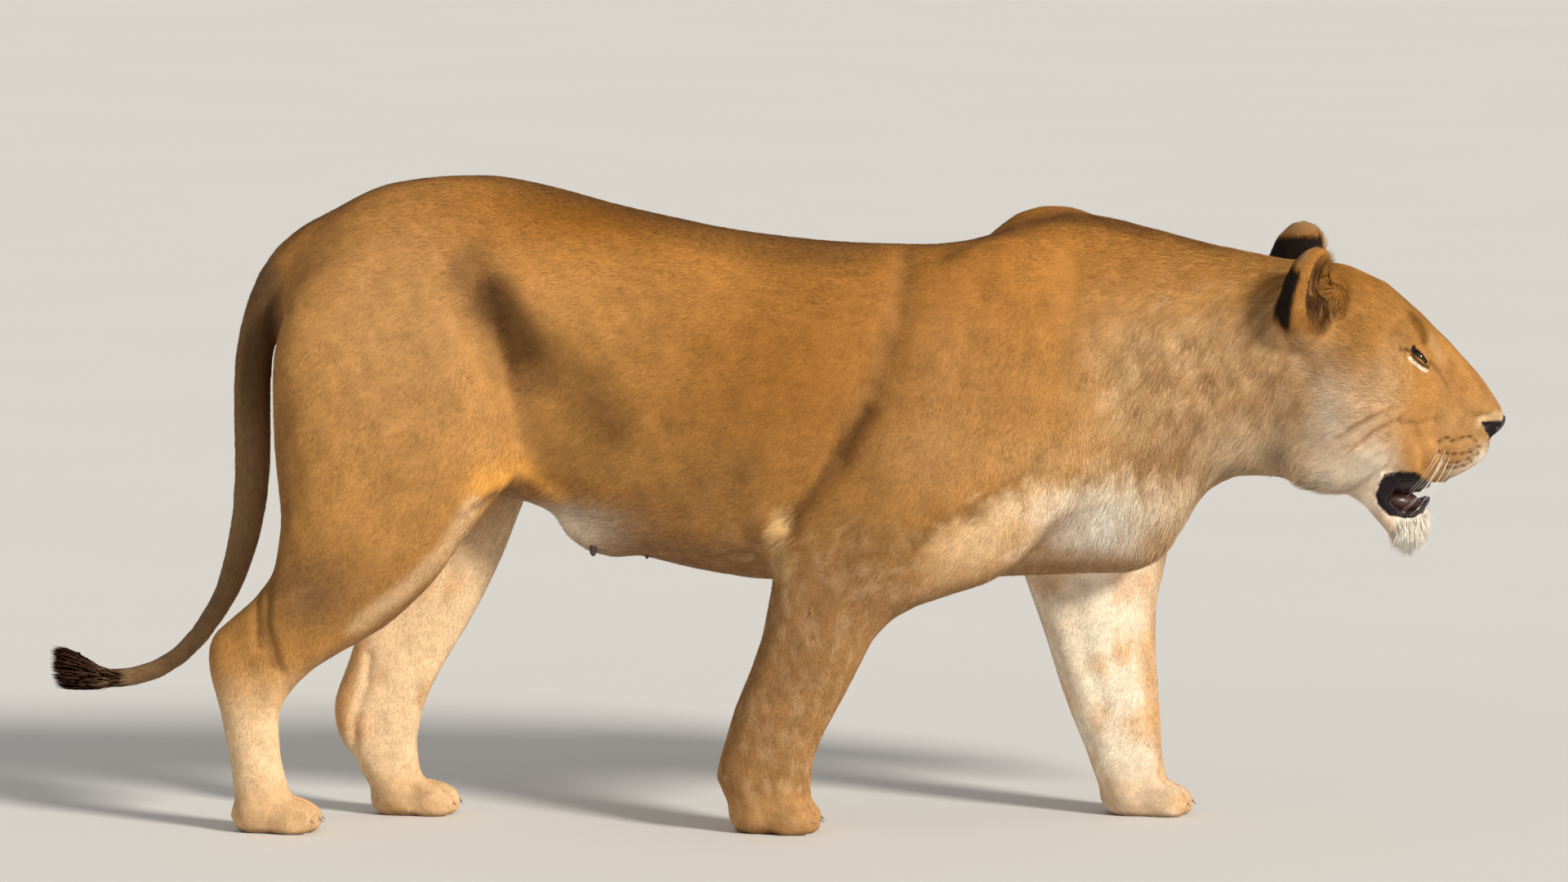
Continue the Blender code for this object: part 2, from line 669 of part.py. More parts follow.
def swollen(obj, cutters, by=GAP):
    """A hidden copy of a piece, larger by a gap all round."""
    made = hidden(copy_of(obj, f"{obj.name}_swollen", cutters))
    swell = made.modifiers.new("swell", "DISPLACE")
    swell.mid_level = 0.0
    swell.strength = by
    return made


def part_off(flesh, partings, pieces, cutters):
    """Takes each piece off the flesh in turn. The last takes all that is left."""
    made = {}
    for parting in partings:
        piece = copy_of(flesh, parting.name, pieces)
        made[parting.name] = combine(piece, "INTERSECT", region(parting, cutters))
        if parting is not partings[-1]:
            combine(flesh, "DIFFERENCE", region(parting, cutters, GAP))
    bpy.data.objects.remove(flesh)
    return made


# Building


def build_flesh(cutters):
    bm = bmesh.new()
    for stations in (SKULL, BRIDGE, JAW):
        girth_loft(bm, stations)
    for ball in HEAD_SIDE_MASSES:
        add_ball(bm, ball)
        add_ball(bm, ball, mirror=True)
    for ball in HEAD_MIDDLE_MASSES:
        add_ball(bm, ball)
    bmesh.ops.rotate(bm, cent=HEAD_PIVOT, matrix=roll_of_head(), verts=bm.verts)
    girth_loft(bm, TRUNK)
    for leg in (RIGHT_FORELEG, LEFT_FORELEG, RIGHT_HINDLEG, LEFT_HINDLEG):
        slice_loft(bm, leg)
    for place in FOREPAW_PLACES.values():
        add_paw(bm, place, 0.055, 0.024, (0.052, 0.046, 0.036))
    for place in HINDPAW_PLACES.values():
        add_paw(bm, place, 0.055, 0.021, (0.048, 0.041, 0.034))
    for ball in BODY_MASSES:
        add_ball(bm, ball)
    flesh = one_skin(object_of(bm, "flesh", cutters))
    above_floor = Parting("floor", ((-1.5, 0.0), (1.5, 0.0), (1.5, 1.5), (-1.5, 1.5)))
    return combine(flesh, "INTERSECT", region(above_floor, cutters))


def roll_of_head():
    return Matrix.Rotation(HEAD_ROLL, 3, "X")


def ball_piece(ball, name, collection, mirror=False, segments=14):
    bm = bmesh.new()
    add_ball(bm, ball, mirror, segments)
    bmesh.ops.rotate(bm, cent=HEAD_PIVOT, matrix=roll_of_head(), verts=bm.verts)
    return object_of(bm, name, collection)


def build_head_fittings(flesh, pieces, cutters):
    """Seats the eyes, nose and tongue in the flesh, and sets the ears on it."""
    made = {}
    for side, mirror in (("left", False), ("right", True)):
        shell, hollow, foot = EARS[side]
        ear = ball_piece(shell, f"{side}_ear", pieces, mirror)
        combine(ear, "DIFFERENCE", hidden(ball_piece(hollow, f"{side}_hollow", cutters, mirror)))
        combine(ear, "UNION", hidden(ball_piece(foot, f"{side}_ear_foot", cutters, mirror)))
        made[ear.name] = combine(ear, "DIFFERENCE", swollen(flesh, cutters, 4 * GAP))
        made[f"{side}_eye"] = ball_piece(EYE, f"{side}_eye", pieces, mirror)
    made["nose"] = ball_piece(NOSE, "nose", pieces)
    made["tongue"] = ball_piece(TONGUE, "tongue", pieces)
    for name in ("left_eye", "right_eye", "nose", "tongue"):
        combine(flesh, "DIFFERENCE", swollen(made[name], cutters))
    return made


def build_tail(flesh, pieces, cutters):
    bm = bmesh.new()
    link_sweep(bm, TAIL, steps=28, around=8)
    tail = object_of(bm, "tail", cutters)
    combine(tail, "DIFFERENCE", swollen(flesh, cutters, 4 * GAP))
    return part_off(tail, TAIL_PARTINGS, pieces, cutters)


def finish(made):
    """Gives each piece its material and moves it into the frame."""
    coat = new_material("coat", TAWNY, 0.85)
    others = {
        "left_ear": new_material("ear", BLACK, 0.85),
        "tail_tuft": new_material("tuft", BLACK, 0.85),
        "left_eye": new_material("eye", AMBER, 0.15),
        "nose": new_material("nose", BLACK, 0.4),
        "tongue": new_material("tongue", ROSE, 0.35),
    }
    others["right_ear"], others["right_eye"] = others["left_ear"], others["left_eye"]
    for name, obj in made.items():
        obj.data.transform(Matrix.Translation((FORWARD, 0, 0)))
        obj.data.materials.clear()
        obj.data.materials.append(others.get(name, coat))
        obj.data.shade_smooth()
        obj.data.set_sharp_from_angle(angle=math.radians(50))


def main():
    clear_scene()
    pieces = new_collection("lioness")
    cutters = new_collection("cutters")
    flesh = build_flesh(cutters)
    made = build_tail(flesh, pieces, cutters)
    made.update(build_head_fittings(flesh, pieces, cutters))
    made.update(part_off(flesh, PARTINGS, pieces, cutters))
    finish(made)


main()
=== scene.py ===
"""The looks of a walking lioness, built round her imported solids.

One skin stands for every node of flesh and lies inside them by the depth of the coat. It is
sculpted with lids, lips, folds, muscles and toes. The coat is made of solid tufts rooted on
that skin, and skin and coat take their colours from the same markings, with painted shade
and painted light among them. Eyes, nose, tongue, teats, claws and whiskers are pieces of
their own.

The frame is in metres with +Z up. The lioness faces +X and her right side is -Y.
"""

import sys
import logging
import math
from dataclasses import dataclass, field
from enum import Enum
from typing import Sequence

import bmesh
import bpy
import numpy as np
from mathutils import Matrix, Vector, kdtree


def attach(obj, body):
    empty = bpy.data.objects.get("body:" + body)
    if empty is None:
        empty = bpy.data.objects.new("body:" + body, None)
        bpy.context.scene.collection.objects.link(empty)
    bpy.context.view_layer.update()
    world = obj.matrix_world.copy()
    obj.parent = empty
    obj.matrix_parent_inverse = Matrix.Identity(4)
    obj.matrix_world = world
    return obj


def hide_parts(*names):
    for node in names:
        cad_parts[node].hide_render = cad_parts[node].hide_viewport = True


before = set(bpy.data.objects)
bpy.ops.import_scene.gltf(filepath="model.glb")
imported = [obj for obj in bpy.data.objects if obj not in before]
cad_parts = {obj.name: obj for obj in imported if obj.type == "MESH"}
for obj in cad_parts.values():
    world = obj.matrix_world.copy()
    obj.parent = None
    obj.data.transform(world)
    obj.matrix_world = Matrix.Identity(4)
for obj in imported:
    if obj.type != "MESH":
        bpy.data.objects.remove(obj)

LOG = logging.getLogger("lioness")
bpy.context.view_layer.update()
BODY = "root"
UNWRAP = "OFBake"

Rgb = tuple[float, float, float]
Point = tuple[float, float, float]
Spot = tuple[float, float]
Line = tuple[Spot, ...]
Array = np.ndarray

# The least and the greatest part of light that any hair gives back
DARKEST, PALEST = 0.002, 0.95

# Colours of the coat, linear, among them painted shade and painted light
TAWNY: Rgb = (0.455, 0.220, 0.060)
GOLD: Rgb = (0.375, 0.134, 0.012)
AMBER: Rgb = (0.590, 0.270, 0.060)
SAND: Rgb = (0.540, 0.295, 0.112)
CREAM: Rgb = (0.820, 0.580, 0.350)
MILK: Rgb = (0.880, 0.760, 0.610)
UMBER: Rgb = (0.225, 0.110, 0.038)
BARK: Rgb = (0.100, 0.045, 0.015)
SOOT: Rgb = (0.009, 0.007, 0.007)
MAROON: Rgb = (0.046, 0.018, 0.010)
FOLD_HIGHLIGHT: Rgb = (0.66, 0.31, 0.065)
NECK_FAWN: Rgb = (0.535, 0.315, 0.148)
NECK_LIGHT: Rgb = (0.640, 0.430, 0.240)
NECK_DARK: Rgb = (0.300, 0.165, 0.070)
LOCK_LIGHT: Rgb = (0.66, 0.44, 0.25)
LOW_NECK_SHADE: Rgb = (0.430, 0.240, 0.105)
THROAT_PALE: Rgb = (0.740, 0.530, 0.330)
CHEST_GOLD: Rgb = (0.700, 0.420, 0.190)
CHEST_WHITE: Rgb = (0.960, 0.860, 0.730)
BELLY_SHADE: Rgb = (0.27, 0.150, 0.078)
THIGH_PALE: Rgb = (0.760, 0.520, 0.300)
HOCK_SHADE: Rgb = (0.150, 0.080, 0.035)
FORELEG_BROWN: Rgb = (0.33, 0.175, 0.070)
FORELEG_FAWN: Rgb = (0.50, 0.315, 0.165)
SPOT_AMBER: Rgb = (0.66, 0.34, 0.10)
SPOT_BROWN: Rgb = (0.62, 0.33, 0.12)
ELBOW_GOLD: Rgb = (0.66, 0.42, 0.19)
TAIL_BROWN: Rgb = (0.230, 0.138, 0.070)
TAIL_ROOT_SHADOW: Rgb = (0.090, 0.045, 0.018)
TAIL_SUNLIT_SIDE: Rgb = (0.330, 0.175, 0.070)
CROWN_GOLD: Rgb = (0.405, 0.186, 0.042)
BRIDGE_GOLD: Rgb = (0.490, 0.238, 0.070)
MUZZLE_FAWN: Rgb = (0.430, 0.232, 0.088)
CHEEK_PALE: Rgb = (0.680, 0.440, 0.250)
CHIN_WHITE: Rgb = (0.84, 0.76, 0.65)
NOSE_RIM: Rgb = (0.72, 0.50, 0.29)
ROW_BROWN: Rgb = (0.20, 0.085, 0.020)
WHISKER_SPOT: Rgb = (0.030, 0.014, 0.008)
EAR_ORANGE: Rgb = (0.42, 0.185, 0.040)
EAR_TIP: Rgb = (0.420, 0.240, 0.105)
EAR_HOLLOW_SHADE: Rgb = (0.055, 0.022, 0.008)
EAR_GOLD: Rgb = (0.36, 0.180, 0.050)
LIP_BLACK: Rgb = (0.010, 0.007, 0.008)
GUM_RED: Rgb = (0.070, 0.016, 0.014)


# Reckoning


def soft(value: Array, low: float, high: float) -> Array:
    """A smooth step.

    Args:
        value: What is measured.
        low: Where the step is 0. It may be the greater of the two.
        high: Where the step is 1.

    Returns:
        The step at each value.
    """
    t = np.clip((value - low) / (high - low), 0.0, 1.0)
    return t * t * (3 - 2 * t)


def mound(points: Array, centre: Sequence[float], radii: Sequence[float]) -> Array:
    """A soft round weight.

    Args:
        points: Places, one in each row.
        centre: Where the weight is 1.
        radii: How far it reaches along each axis.

    Returns:
        The weight at each place.
    """
    return np.exp(-(((points - np.array(centre)) / np.array(radii)) ** 2).sum(1))


def bell(value: Array, width: float) -> Array:
    """A smooth weight that is 1 where the value is 0 and falls off on both sides."""
    return np.exp(-((value / width) ** 2))


def line_distance(points: Array, line: Array) -> Array:
    """The distance from each place to a line through several points.

    Args:
        points: Places, one in each row, in 2 or 3 dimensions.
        line: The points of the line, in the same dimensions.

    Returns:
        The distance of each place.
    """
    best = np.full(len(points), np.inf)
    for a, b in zip(line[:-1], line[1:]):
        along = b - a
        t = np.clip((points - a) @ along / max(along @ along, 1e-12), 0.0, 1.0)
        gap = points - a - t[:, None] * along
        best = np.minimum(best, (gap**2).sum(1))
    return np.sqrt(best)


def unit(vectors: Array) -> Array:
    """The rows brought to length 1."""
    return vectors / np.maximum(np.linalg.norm(vectors, axis=-1, keepdims=True), 1e-9)


class Waves:
    """A smooth random field, the sum of waves in random directions."""

    def __init__(self, size: float, seed: int, count: int = 14) -> None:
        """Draws the waves.

        Args:
            size: The usual length of a wave.
            seed: What the draw starts from.
            count: How many waves there are.
        """
        rng = np.random.default_rng(seed)
        heading = unit(rng.normal(size=(count, 3)))
        self.steps = heading * (math.tau / size) * rng.uniform(0.6, 1.6, (count, 1))
        self.phases = rng.uniform(0, math.tau, count)

    def __call__(self, points: Array) -> Array:
        """The field at each place, with a spread of about 1."""
        total = np.sin(points @ self.steps.T + self.phases).sum(1)
        return total * math.sqrt(2 / len(self.phases))


@dataclass(frozen=True)
class HeadFrame:
    """The head's own frame, upright, in which its two sides match."""

    pivot_z: float = 0.62
    roll: float = math.radians(4)

    def upright(self, points: Array) -> Array:
        """Places in the row's frame, turned into the head's."""
        return self._turned(points, -self.roll)

    def leaning(self, points: Array) -> Array:
        """Places in the head's frame, turned into the row's."""
        return self._turned(points, self.roll)

    def leaning_way(self, ways: Array) -> Array:
        """Directions in the head's frame, turned into the row's."""
        origin = self._turned(np.zeros((1, 3)), self.roll)
        return self._turned(ways, self.roll) - origin

    @staticmethod
    def folded(upright: Array) -> Array:
        """Places in the head's frame, with the right side mirrored onto the left."""
        return np.stack([upright[:, 0], np.abs(upright[:, 1]), upright[:, 2]], 1)

    def pair(self, points: Array, normals: Array) -> tuple[Array, Array]:
        """Places and the ways out of the skin there, both turned into the head's frame."""
        upright = self.upright(points)
        return upright, self.upright(points + normals) - upright

    def _turned(self, points: Array, angle: float) -> Array:
        """Turns places about the head's long axis."""
        points = np.atleast_2d(np.asarray(points, float))
        y, z = points[:, 1], points[:, 2] - self.pivot_z
        c, s = math.cos(angle), math.sin(angle)
        return np.stack([points[:, 0], y * c - z * s, self.pivot_z + y * s + z * c], 1)


HEAD = HeadFrame()


@dataclass(frozen=True)
class EyeSeat:
    """Where an eye sits in the head, and how its lids lie. Sizes are in metres."""

    centre: Point = (0.9032, 0.0528, 0.6732)
    radius: float = 0.0166
    outward: Point = (0.40, 0.80, 0.45)
    along: Point = (0.76, 0.10, -0.64)
    half_length: float = 0.0150
    half_height: float = 0.0012
    lid: float = 0.0018
    rim: float = 0.0004
    rim_start: float = 0.0012
    rim_width: float = 0.0014
    bend: float = -0.0022
    left_inset: float = 0.0030
    upper_crease: float = 0.0088
    lower_crease: float = 0.0095
    crease_width: float = 0.0018
    crease_depth: float = 0.0014
    slit_depth: float = 0.0030
    dark_half: float = 0.0120
    socket: float = 0.034
    lid_edge: float = 0.0170
    clearance: float = 0.0008

    def axes(self, side: int) -> tuple[Array, Array, Array, Array]:
        """The eye's centre and axes in the row's frame.

        Args:
            side: 1 for the left eye and -1 for the right.

        Returns:
            The centre, and the ways out of the head, along the slit to its front, and up it.
        """
        mirror = np.array([1, side, 1])
        out = unit(np.array(self.outward) * mirror)
        along = np.array(self.along) * mirror
        along = unit(along - out * (along @ out))
        up = np.cross(out, along)
        up = up if up[2] > 0 else -up
        turned = HEAD.leaning_way(np.stack([out, along, up]))
        centre = np.array(self.centre) * mirror - out * self.left_inset * (side > 0)
        return HEAD.leaning(centre)[0], *turned

    def rim_share(self, points: Array, side: int, far: float, near: float) -> Array:
        """1 on the dark edge of the lids and 0 beyond it.

        Args:
            points: Places in the row's frame.
            side: 1 for the left eye and -1 for the right.
            far: How far from the middle of the slit the edge ends.
            near: How far it is wholly dark.

        Returns:
            One share for each place.
        """
        centre, out, along, up = self.axes(side)
        away = points - centre
        a, b, h = away @ along, away @ up, away @ out
        bend = self.bend * (1 - (a / self.half_length) ** 2)
        gap = np.hypot(np.maximum(np.abs(a) - self.dark_half, 0) * 0.9, b - bend)
        gap = gap * (0.90 + 0.45 * soft(a, -0.004, 0.012))
        return soft(gap, far, near) * (h > 0) * (np.linalg.norm(away, axis=1) < 0.03)


EYE = EyeSeat()


@dataclass(frozen=True)
class EarShape:
    """The frame of an ear, in the head's frame as if it were the left one."""

    centre: Point
    radii: Point
    turn: Point
    side: int

    def local(self, points: Array) -> Array:
        """Places as shares of the ear's radii: across, out of its hollow, and up.

        Args:
            points: Places in the head's frame.

        Returns:
            The places in the ear's own measure.
        """
        mirrored = points * np.array([1, self.side, 1])
        return (mirrored - np.array(self.centre)) @ self.matrix() / np.array(self.radii)

    def share(self, points: Array) -> Array:
        """1 on the ear above its root and 0 off it, for places in the head's frame."""
        own = self.local(points)
        near = soft(np.linalg.norm(own, axis=1), 1.34, 1.14) * soft(own[:, 2], -0.80, -0.50)
        return near * soft(points[:, 1] * self.side, 0.030, 0.055)

    def fringe(self, points: Array) -> Array:
        """1 at the front edge of the ear, where long hair grows back over its hollow."""
        own = self.local(points)
        front = soft(own[:, 0], 0.20, 0.55) * soft(own[:, 1], -0.35, 0.15)
        near = soft(np.linalg.norm(own, axis=1), 1.55, 1.30) * soft(points[:, 1] * self.side, 0.030, 0.050)
        return front * near * soft(own[:, 2], 0.85, 0.45) * soft(own[:, 2], -0.85, -0.55)

    def matrix(self) -> Array:
        """The turn of the ear, its axes in the columns."""
        angles = [math.radians(a) for a in self.turn]
        turn = Matrix.Rotation(angles[2], 3, "Z") @ Matrix.Rotation(angles[1], 3, "Y")
        return np.array(turn @ Matrix.Rotation(angles[0], 3, "X"))

    def way(self, local: Point) -> Array:
        """A direction in the ear's own axes, turned into the row's frame."""
        turned = self.matrix() @ np.array(local) * np.array([1, self.side, 1])
        return HEAD.leaning_way(turned[None])[0]


EARS = (
    EarShape((0.7448, 0.102, 0.772), (0.056, 0.034, 0.075), (-14, -4, -42), 1),
    EarShape((0.7478, 0.101, 0.770), (0.056, 0.036, 0.075), (-14, -4, -60), -1),
)


@dataclass(frozen=True)
class TailLine:
    """The middle of the tail, from its root to its tip."""

    points: tuple[Point, ...] = (
        (-0.609, 0.000, 0.852), (-0.679, 0.000, 0.812), (-0.716, 0.001, 0.757), (-0.735, 0.002, 0.700),
        (-0.743, 0.004, 0.640), (-0.744, 0.009, 0.520), (-0.748, 0.012, 0.458), (-0.758, 0.015, 0.404),
        (-0.773, 0.018, 0.353), (-0.792, 0.021, 0.310), (-0.837, 0.025, 0.248), (-0.891, 0.029, 0.212),
        (-0.949, 0.033, 0.202), (-1.011, 0.036, 0.217), (-1.038, 0.036, 0.219),
    )

    def share(self, points: Array) -> Array:
        """1 on the tail and 0 off it."""
        line = np.array(self.points[2:])
        near = soft(line_distance(points, line), 0.055, 0.036)
        clear = soft(points[:, 0], -0.690, -0.722)
        clear = clear * soft(np.abs(points[:, 1] - 0.015), 0.050, 0.042)
        return near * clear

    def way(self, points: Array) -> Array:
        """The direction of the tail, towards its tip, nearest to each place."""
        line = np.array(self.points)
        middles, ways = (line[1:] + line[:-1]) / 2, unit(np.diff(line, axis=0))
        gaps = ((points[:, None] - middles[None]) ** 2).sum(2)
        share = np.exp(-gaps / 0.05**2) + 1e-12
        return unit(share @ ways)


TAIL = TailLine()


# Markings, with painted shade and light


@dataclass(frozen=True)
class Patch:
    """A soft round patch of colour seen from the side, its middle and its reach in X and Z."""

    hue: Rgb
    strength: float
    centre: Spot
    radii: Spot


@dataclass(frozen=True)
class Band:
    """A band of colour along a line seen from the side.

    It is nothing at the far distance from the line and full at the near one. Aside says how far
    from the midline it starts and is full.
    """

    hue: Rgb
    strength: float
    line: Line
    far: float
    near: float
    aside: Spot


class Canvas:
    """Colours in the making, one for each place, with the places seen from the side."""

    def __init__(self, points: Array, normals: Array, colour: Array | None = None) -> None:
        """Takes the places and the colours to start from.

        Args:
            points: Places, one in each row.
            normals: The way out of the skin at each.
            colour: Colours that are changed in place. Without them the start is tawny.
        """
        self.points, self.normals, self.side = points, normals, points[:, ::2]
        self.colour = np.tile(np.array(TAWNY), (len(points), 1)) if colour is None else colour

    def lay(self, hue: Rgb, share: Array) -> None:
        """Lays a hue over part of the colours.

        Args:
            hue: What is laid on.
            share: How much of it, from 0 to 1, at each place.
        """
        self.colour += np.clip(share, 0, 1)[:, None] * (np.array(hue) - self.colour)

    def patches(self, rows: Sequence[Patch]) -> None:
        """Lays soft round patches, one over the other."""
        for row in rows:
            self.lay(row.hue, row.strength * mound(self.side, row.centre, row.radii))

    def near(self, line: Line, far: float, near: float) -> Array:
        """How near each place is to a line seen from the side.

        Args:
            line: Its points in X and Z.
            far: The distance at which the share is 0.
            near: The distance at which it is 1.

        Returns:
            One share for each place.
        """
        return soft(line_distance(self.side, np.array(line)), far, near)


@dataclass(frozen=True)
class Markings:
    """The colours of the lioness as functions of place, shared by her skin and her coat. Besides her markings
    they hold painted shade and painted light.
    """

    broad: Waves = field(default_factory=lambda: Waves(0.22, 11))
    mottle: Waves = field(default_factory=lambda: Waves(0.045, 12))
    fleck: Waves = field(default_factory=lambda: Waves(0.016, 13))
    spots: Waves = field(default_factory=lambda: Waves(0.075, 14, 20))
    streaks: Waves = field(default_factory=lambda: Waves(0.03, 15, 20))

    def colours(self, points: Array, normals: Array) -> Array:
        """The colour of the coat.

        Args:
            points: Places in the row's frame.
            normals: The way out of the skin at each.

        Returns:
            Linear RGB, one row for each place.
        """
        body = Canvas(points, normals)
        self._trunk(body)
        self._legs(body)
        self._tail(body)
        head = Canvas(*HEAD.pair(points, normals))
        self._head(head)
        on_head = soft(points[:, 0], 0.735, 0.80)
        body.colour += on_head[:, None] * (head.colour - body.colour)
        both_ears = Canvas(head.points, head.normals, body.colour)
        for ear in EARS:
            self._ear(both_ears, ear)
        shade = 1 + 0.045 * self.broad(points) + 0.05 * self.mottle(points)
        shade += 0.035 * self.fleck(points)
        return np.clip(body.colour * shade[:, None], DARKEST, PALEST)

    def _trunk(self, on: Canvas) -> None:
        """Back, flank, belly, shoulder, chest and neck."""
        x, y, z = on.points.T
        mottle, up = self.mottle(on.points), on.normals[:, 2]
        on.lay(GOLD, 0.60 * soft(z, 0.72, 0.90))
        on.patches(TRUNK_PATCHES)
        outer = soft(on.normals[:, 1] * np.sign(y), -0.3, 0.3)
        for line, reach, hue, share in BODY_SHADES:
            on.lay(hue, share * on.near(line, reach, 0.15 * reach) * outer * np.where(y > 0, 0.5, 1.0))
        # Painted highlight: the ridge of the flank fold, laid bright orange where it faces the light
        on.lay(FOLD_HIGHLIGHT, 0.85 * on.near(FLANK_FOLD, 0.042, 0.006))
        self._neck(on, mottle)
        self._chest(on, mottle)
        # Painted shade: the underside of the belly, darker brown where the skin faces down
        on.lay(BELLY_SHADE, 0.75 * soft(-up, 0.35, 0.85) * soft(z, 0.56, 0.46))
        on.lay(MILK, 0.85 * mound(on.side, (-0.300, 0.425), (0.070, 0.038)) * soft(z, 0.495, 0.450))
        spine = bell(y, 0.030) * soft(up, 0.35, 0.80) * soft(x, 0.70, 0.60)
        on.lay(BARK, 0.75 * spine * (0.8 + 0.2 * mottle))
        back = soft(x, -0.42, -0.32) * soft(x, 0.20, 0.10) * soft(up, 0.60, 0.86) * soft(z, 0.74, 0.78)
        on.lay(BARK, 0.50 * back * (0.85 + 0.15 * mottle))

    def _neck(self, on: Canvas, mottle: Array) -> None:
        """The neck and throat, with darker and paler locks."""
        x, y, z = on.points.T
        neck = soft(x, 0.38, 0.52)
        on.lay(NECK_FAWN, 0.85 * neck * soft(z, 0.79, 0.68))
        on.lay(NECK_LIGHT, 0.45 * neck * soft(mottle, 0.2, 1.1) * soft(z, 0.74, 0.66))
        on.lay(NECK_DARK, 0.35 * neck * soft(mottle, -0.3, -1.2) * soft(z, 0.76, 0.68))
        # Painted shade: the low neck, browner where it turns down
        on.lay(LOW_NECK_SHADE, 0.75 * neck * soft(z, 0.62, 0.54) * soft(x, 0.68, 0.60))
        lock = self.streaks(np.stack([(0.70 * x + 0.71 * z) * 0.35, y, (0.71 * x - 0.70 * z) * 1.5], 1))
        low = neck * soft(z, 0.84, 0.72)
        on.lay(UMBER, 0.24 * low * soft(lock, 0.35, 1.3))
        on.lay(LOCK_LIGHT, 0.24 * low * soft(lock, -0.35, -1.3))
        on.lay(THROAT_PALE, 0.80 * neck * soft(x, 0.56, 0.66) * soft(z, 0.62, 0.54))
        on.patches(NECK_PATCHES)

    def _chest(self, on: Canvas, mottle: Array) -> None:
        """The white of the chest, with faint spots."""
        x, _, z = on.points.T
        edge = np.interp(x, *np.array(CHEST_EDGE).T) + 0.009 * mottle + 0.003 * self.fleck(on.points)
        pale = soft(z - edge, 0.026, -0.026) * soft(x, 0.19, 0.26) * soft(z, 0.30, 0.36)
        on.lay(CREAM, 0.92 * pale)
        on.lay(CHEST_GOLD, 0.55 * pale * soft(x, 0.37, 0.29))
        on.lay(CHEST_WHITE, 0.95 * pale * mound(on.side, (0.460, 0.430), (0.085, 0.065)))
        on.lay(AMBER, 0.40 * soft(self.spots(on.points), 0.35, 1.1) * pale * soft(x, 0.48, 0.34))
        on.lay(AMBER, 0.50 * mound(on.side, (0.545, 0.41), (0.035, 0.030)))

    def _legs(self, on: Canvas) -> None:
        """The four legs, paler inside and towards the feet, with faint spots."""
        x, y, z = on.points.T
        leg, left, right = soft(z, 0.50, 0.38), soft(y, 0.0, 0.03), soft(y, 0.0, -0.03)
        # Partly the grey-brown coat of the lower thigh, partly painted shade on it
        on.lay(UMBER, 0.75 * mound(on.side, (-0.64, 0.35), (0.11, 0.060)))
        on.lay(THIGH_PALE, 0.55 * on.near(THIGH_EDGE, 0.020, 0.004) * right)
        # Painted shade in the hollow between the tail and the hock
        on.lay(HOCK_SHADE, 0.55 * mound(on.side, (-0.655, 0.345), (0.045, 0.050)))
        fore = leg * soft(x, -0.20, -0.05) * right
        on.lay(FORELEG_BROWN, 0.80 * fore * soft(z, 0.44, 0.34))
        on.lay(UMBER, 0.35 * fore * soft(self.mottle(on.points), 0.2, 1.2))
        on.lay(FORELEG_FAWN, 0.50 * fore * soft(self.mottle(on.points * 1.6), -0.1, -1.2))
        on.lay(CREAM, 0.85 * leg * soft(x, -0.20, -0.35) * soft(z, 0.26, 0.14))
        inner = soft(-on.normals[:, 1] * np.sign(y), -0.25, 0.30) * leg * soft(np.abs(y), 0.015, 0.045)
        on.lay(CREAM, 0.95 * inner)
        fore = leg * soft(x, 0.22, 0.30) * left
        on.lay(MILK, 0.80 * fore * inner)
        on.lay(SAND, 0.65 * fore * soft(on.normals[:, 0], 0.25, 0.85))
        for place in FORELEG_SPOTS:
            on.lay(SPOT_AMBER, 0.62 * mound(on.side, place, (0.017, 0.011)) * left)
        spot = soft(self.spots(on.points * np.array([1, 0.5, 0.8])), 0.75, 1.3)
        on.lay(SPOT_BROWN, 0.45 * spot * np.maximum(inner, leg * 0.3))
        heel = soft(x + 0.25 * (0.20 - z), -0.590, -0.606) * left * soft(z, 0.30, 0.24)
        on.lay(AMBER, 0.60 * heel * soft(x, -0.66, -0.64))
        on.lay(SAND, 0.45 * soft(z, 0.075, 0.04))
        on.lay(BARK, 0.55 * soft(z, 0.012, 0.004) * soft(-on.normals[:, 2], 0.2, 0.8))
        for line, side in ((ELBOW_RIGHT, -1), (ELBOW_LEFT, 1)):
            on.lay(ELBOW_GOLD, 0.75 * on.near(line, 0.024, 0.006) * soft(y * side, 0.0, 0.05))

    def _tail(self, on: Canvas) -> None:
        """The tail, browner than the body, and its dark tuft, with painted shadow and painted light."""
        x, _, z = on.points.T
        share = TAIL.share(on.points)
        on.lay(TAIL_BROWN, 0.92 * share)
        # Painted shadow: the rump's shadow on the upper tail
        on.lay(TAIL_ROOT_SHADOW, 0.75 * share * soft(z, 0.50, 0.66))
        # Painted light: the rear side of the tail, paler where the rump's shadow misses it
        on.lay(TAIL_SUNLIT_SIDE, 0.55 * share * soft(-on.normals[:, 0], 0.35, 0.9) * soft(z, 0.30, 0.45))
        on.lay(BARK, 0.30 * share * soft(self.mottle(on.points), 0.0, 1.5))
        on.lay(MAROON, soft(x + 0.012 * self.fleck(on.points), -0.925, -0.965))

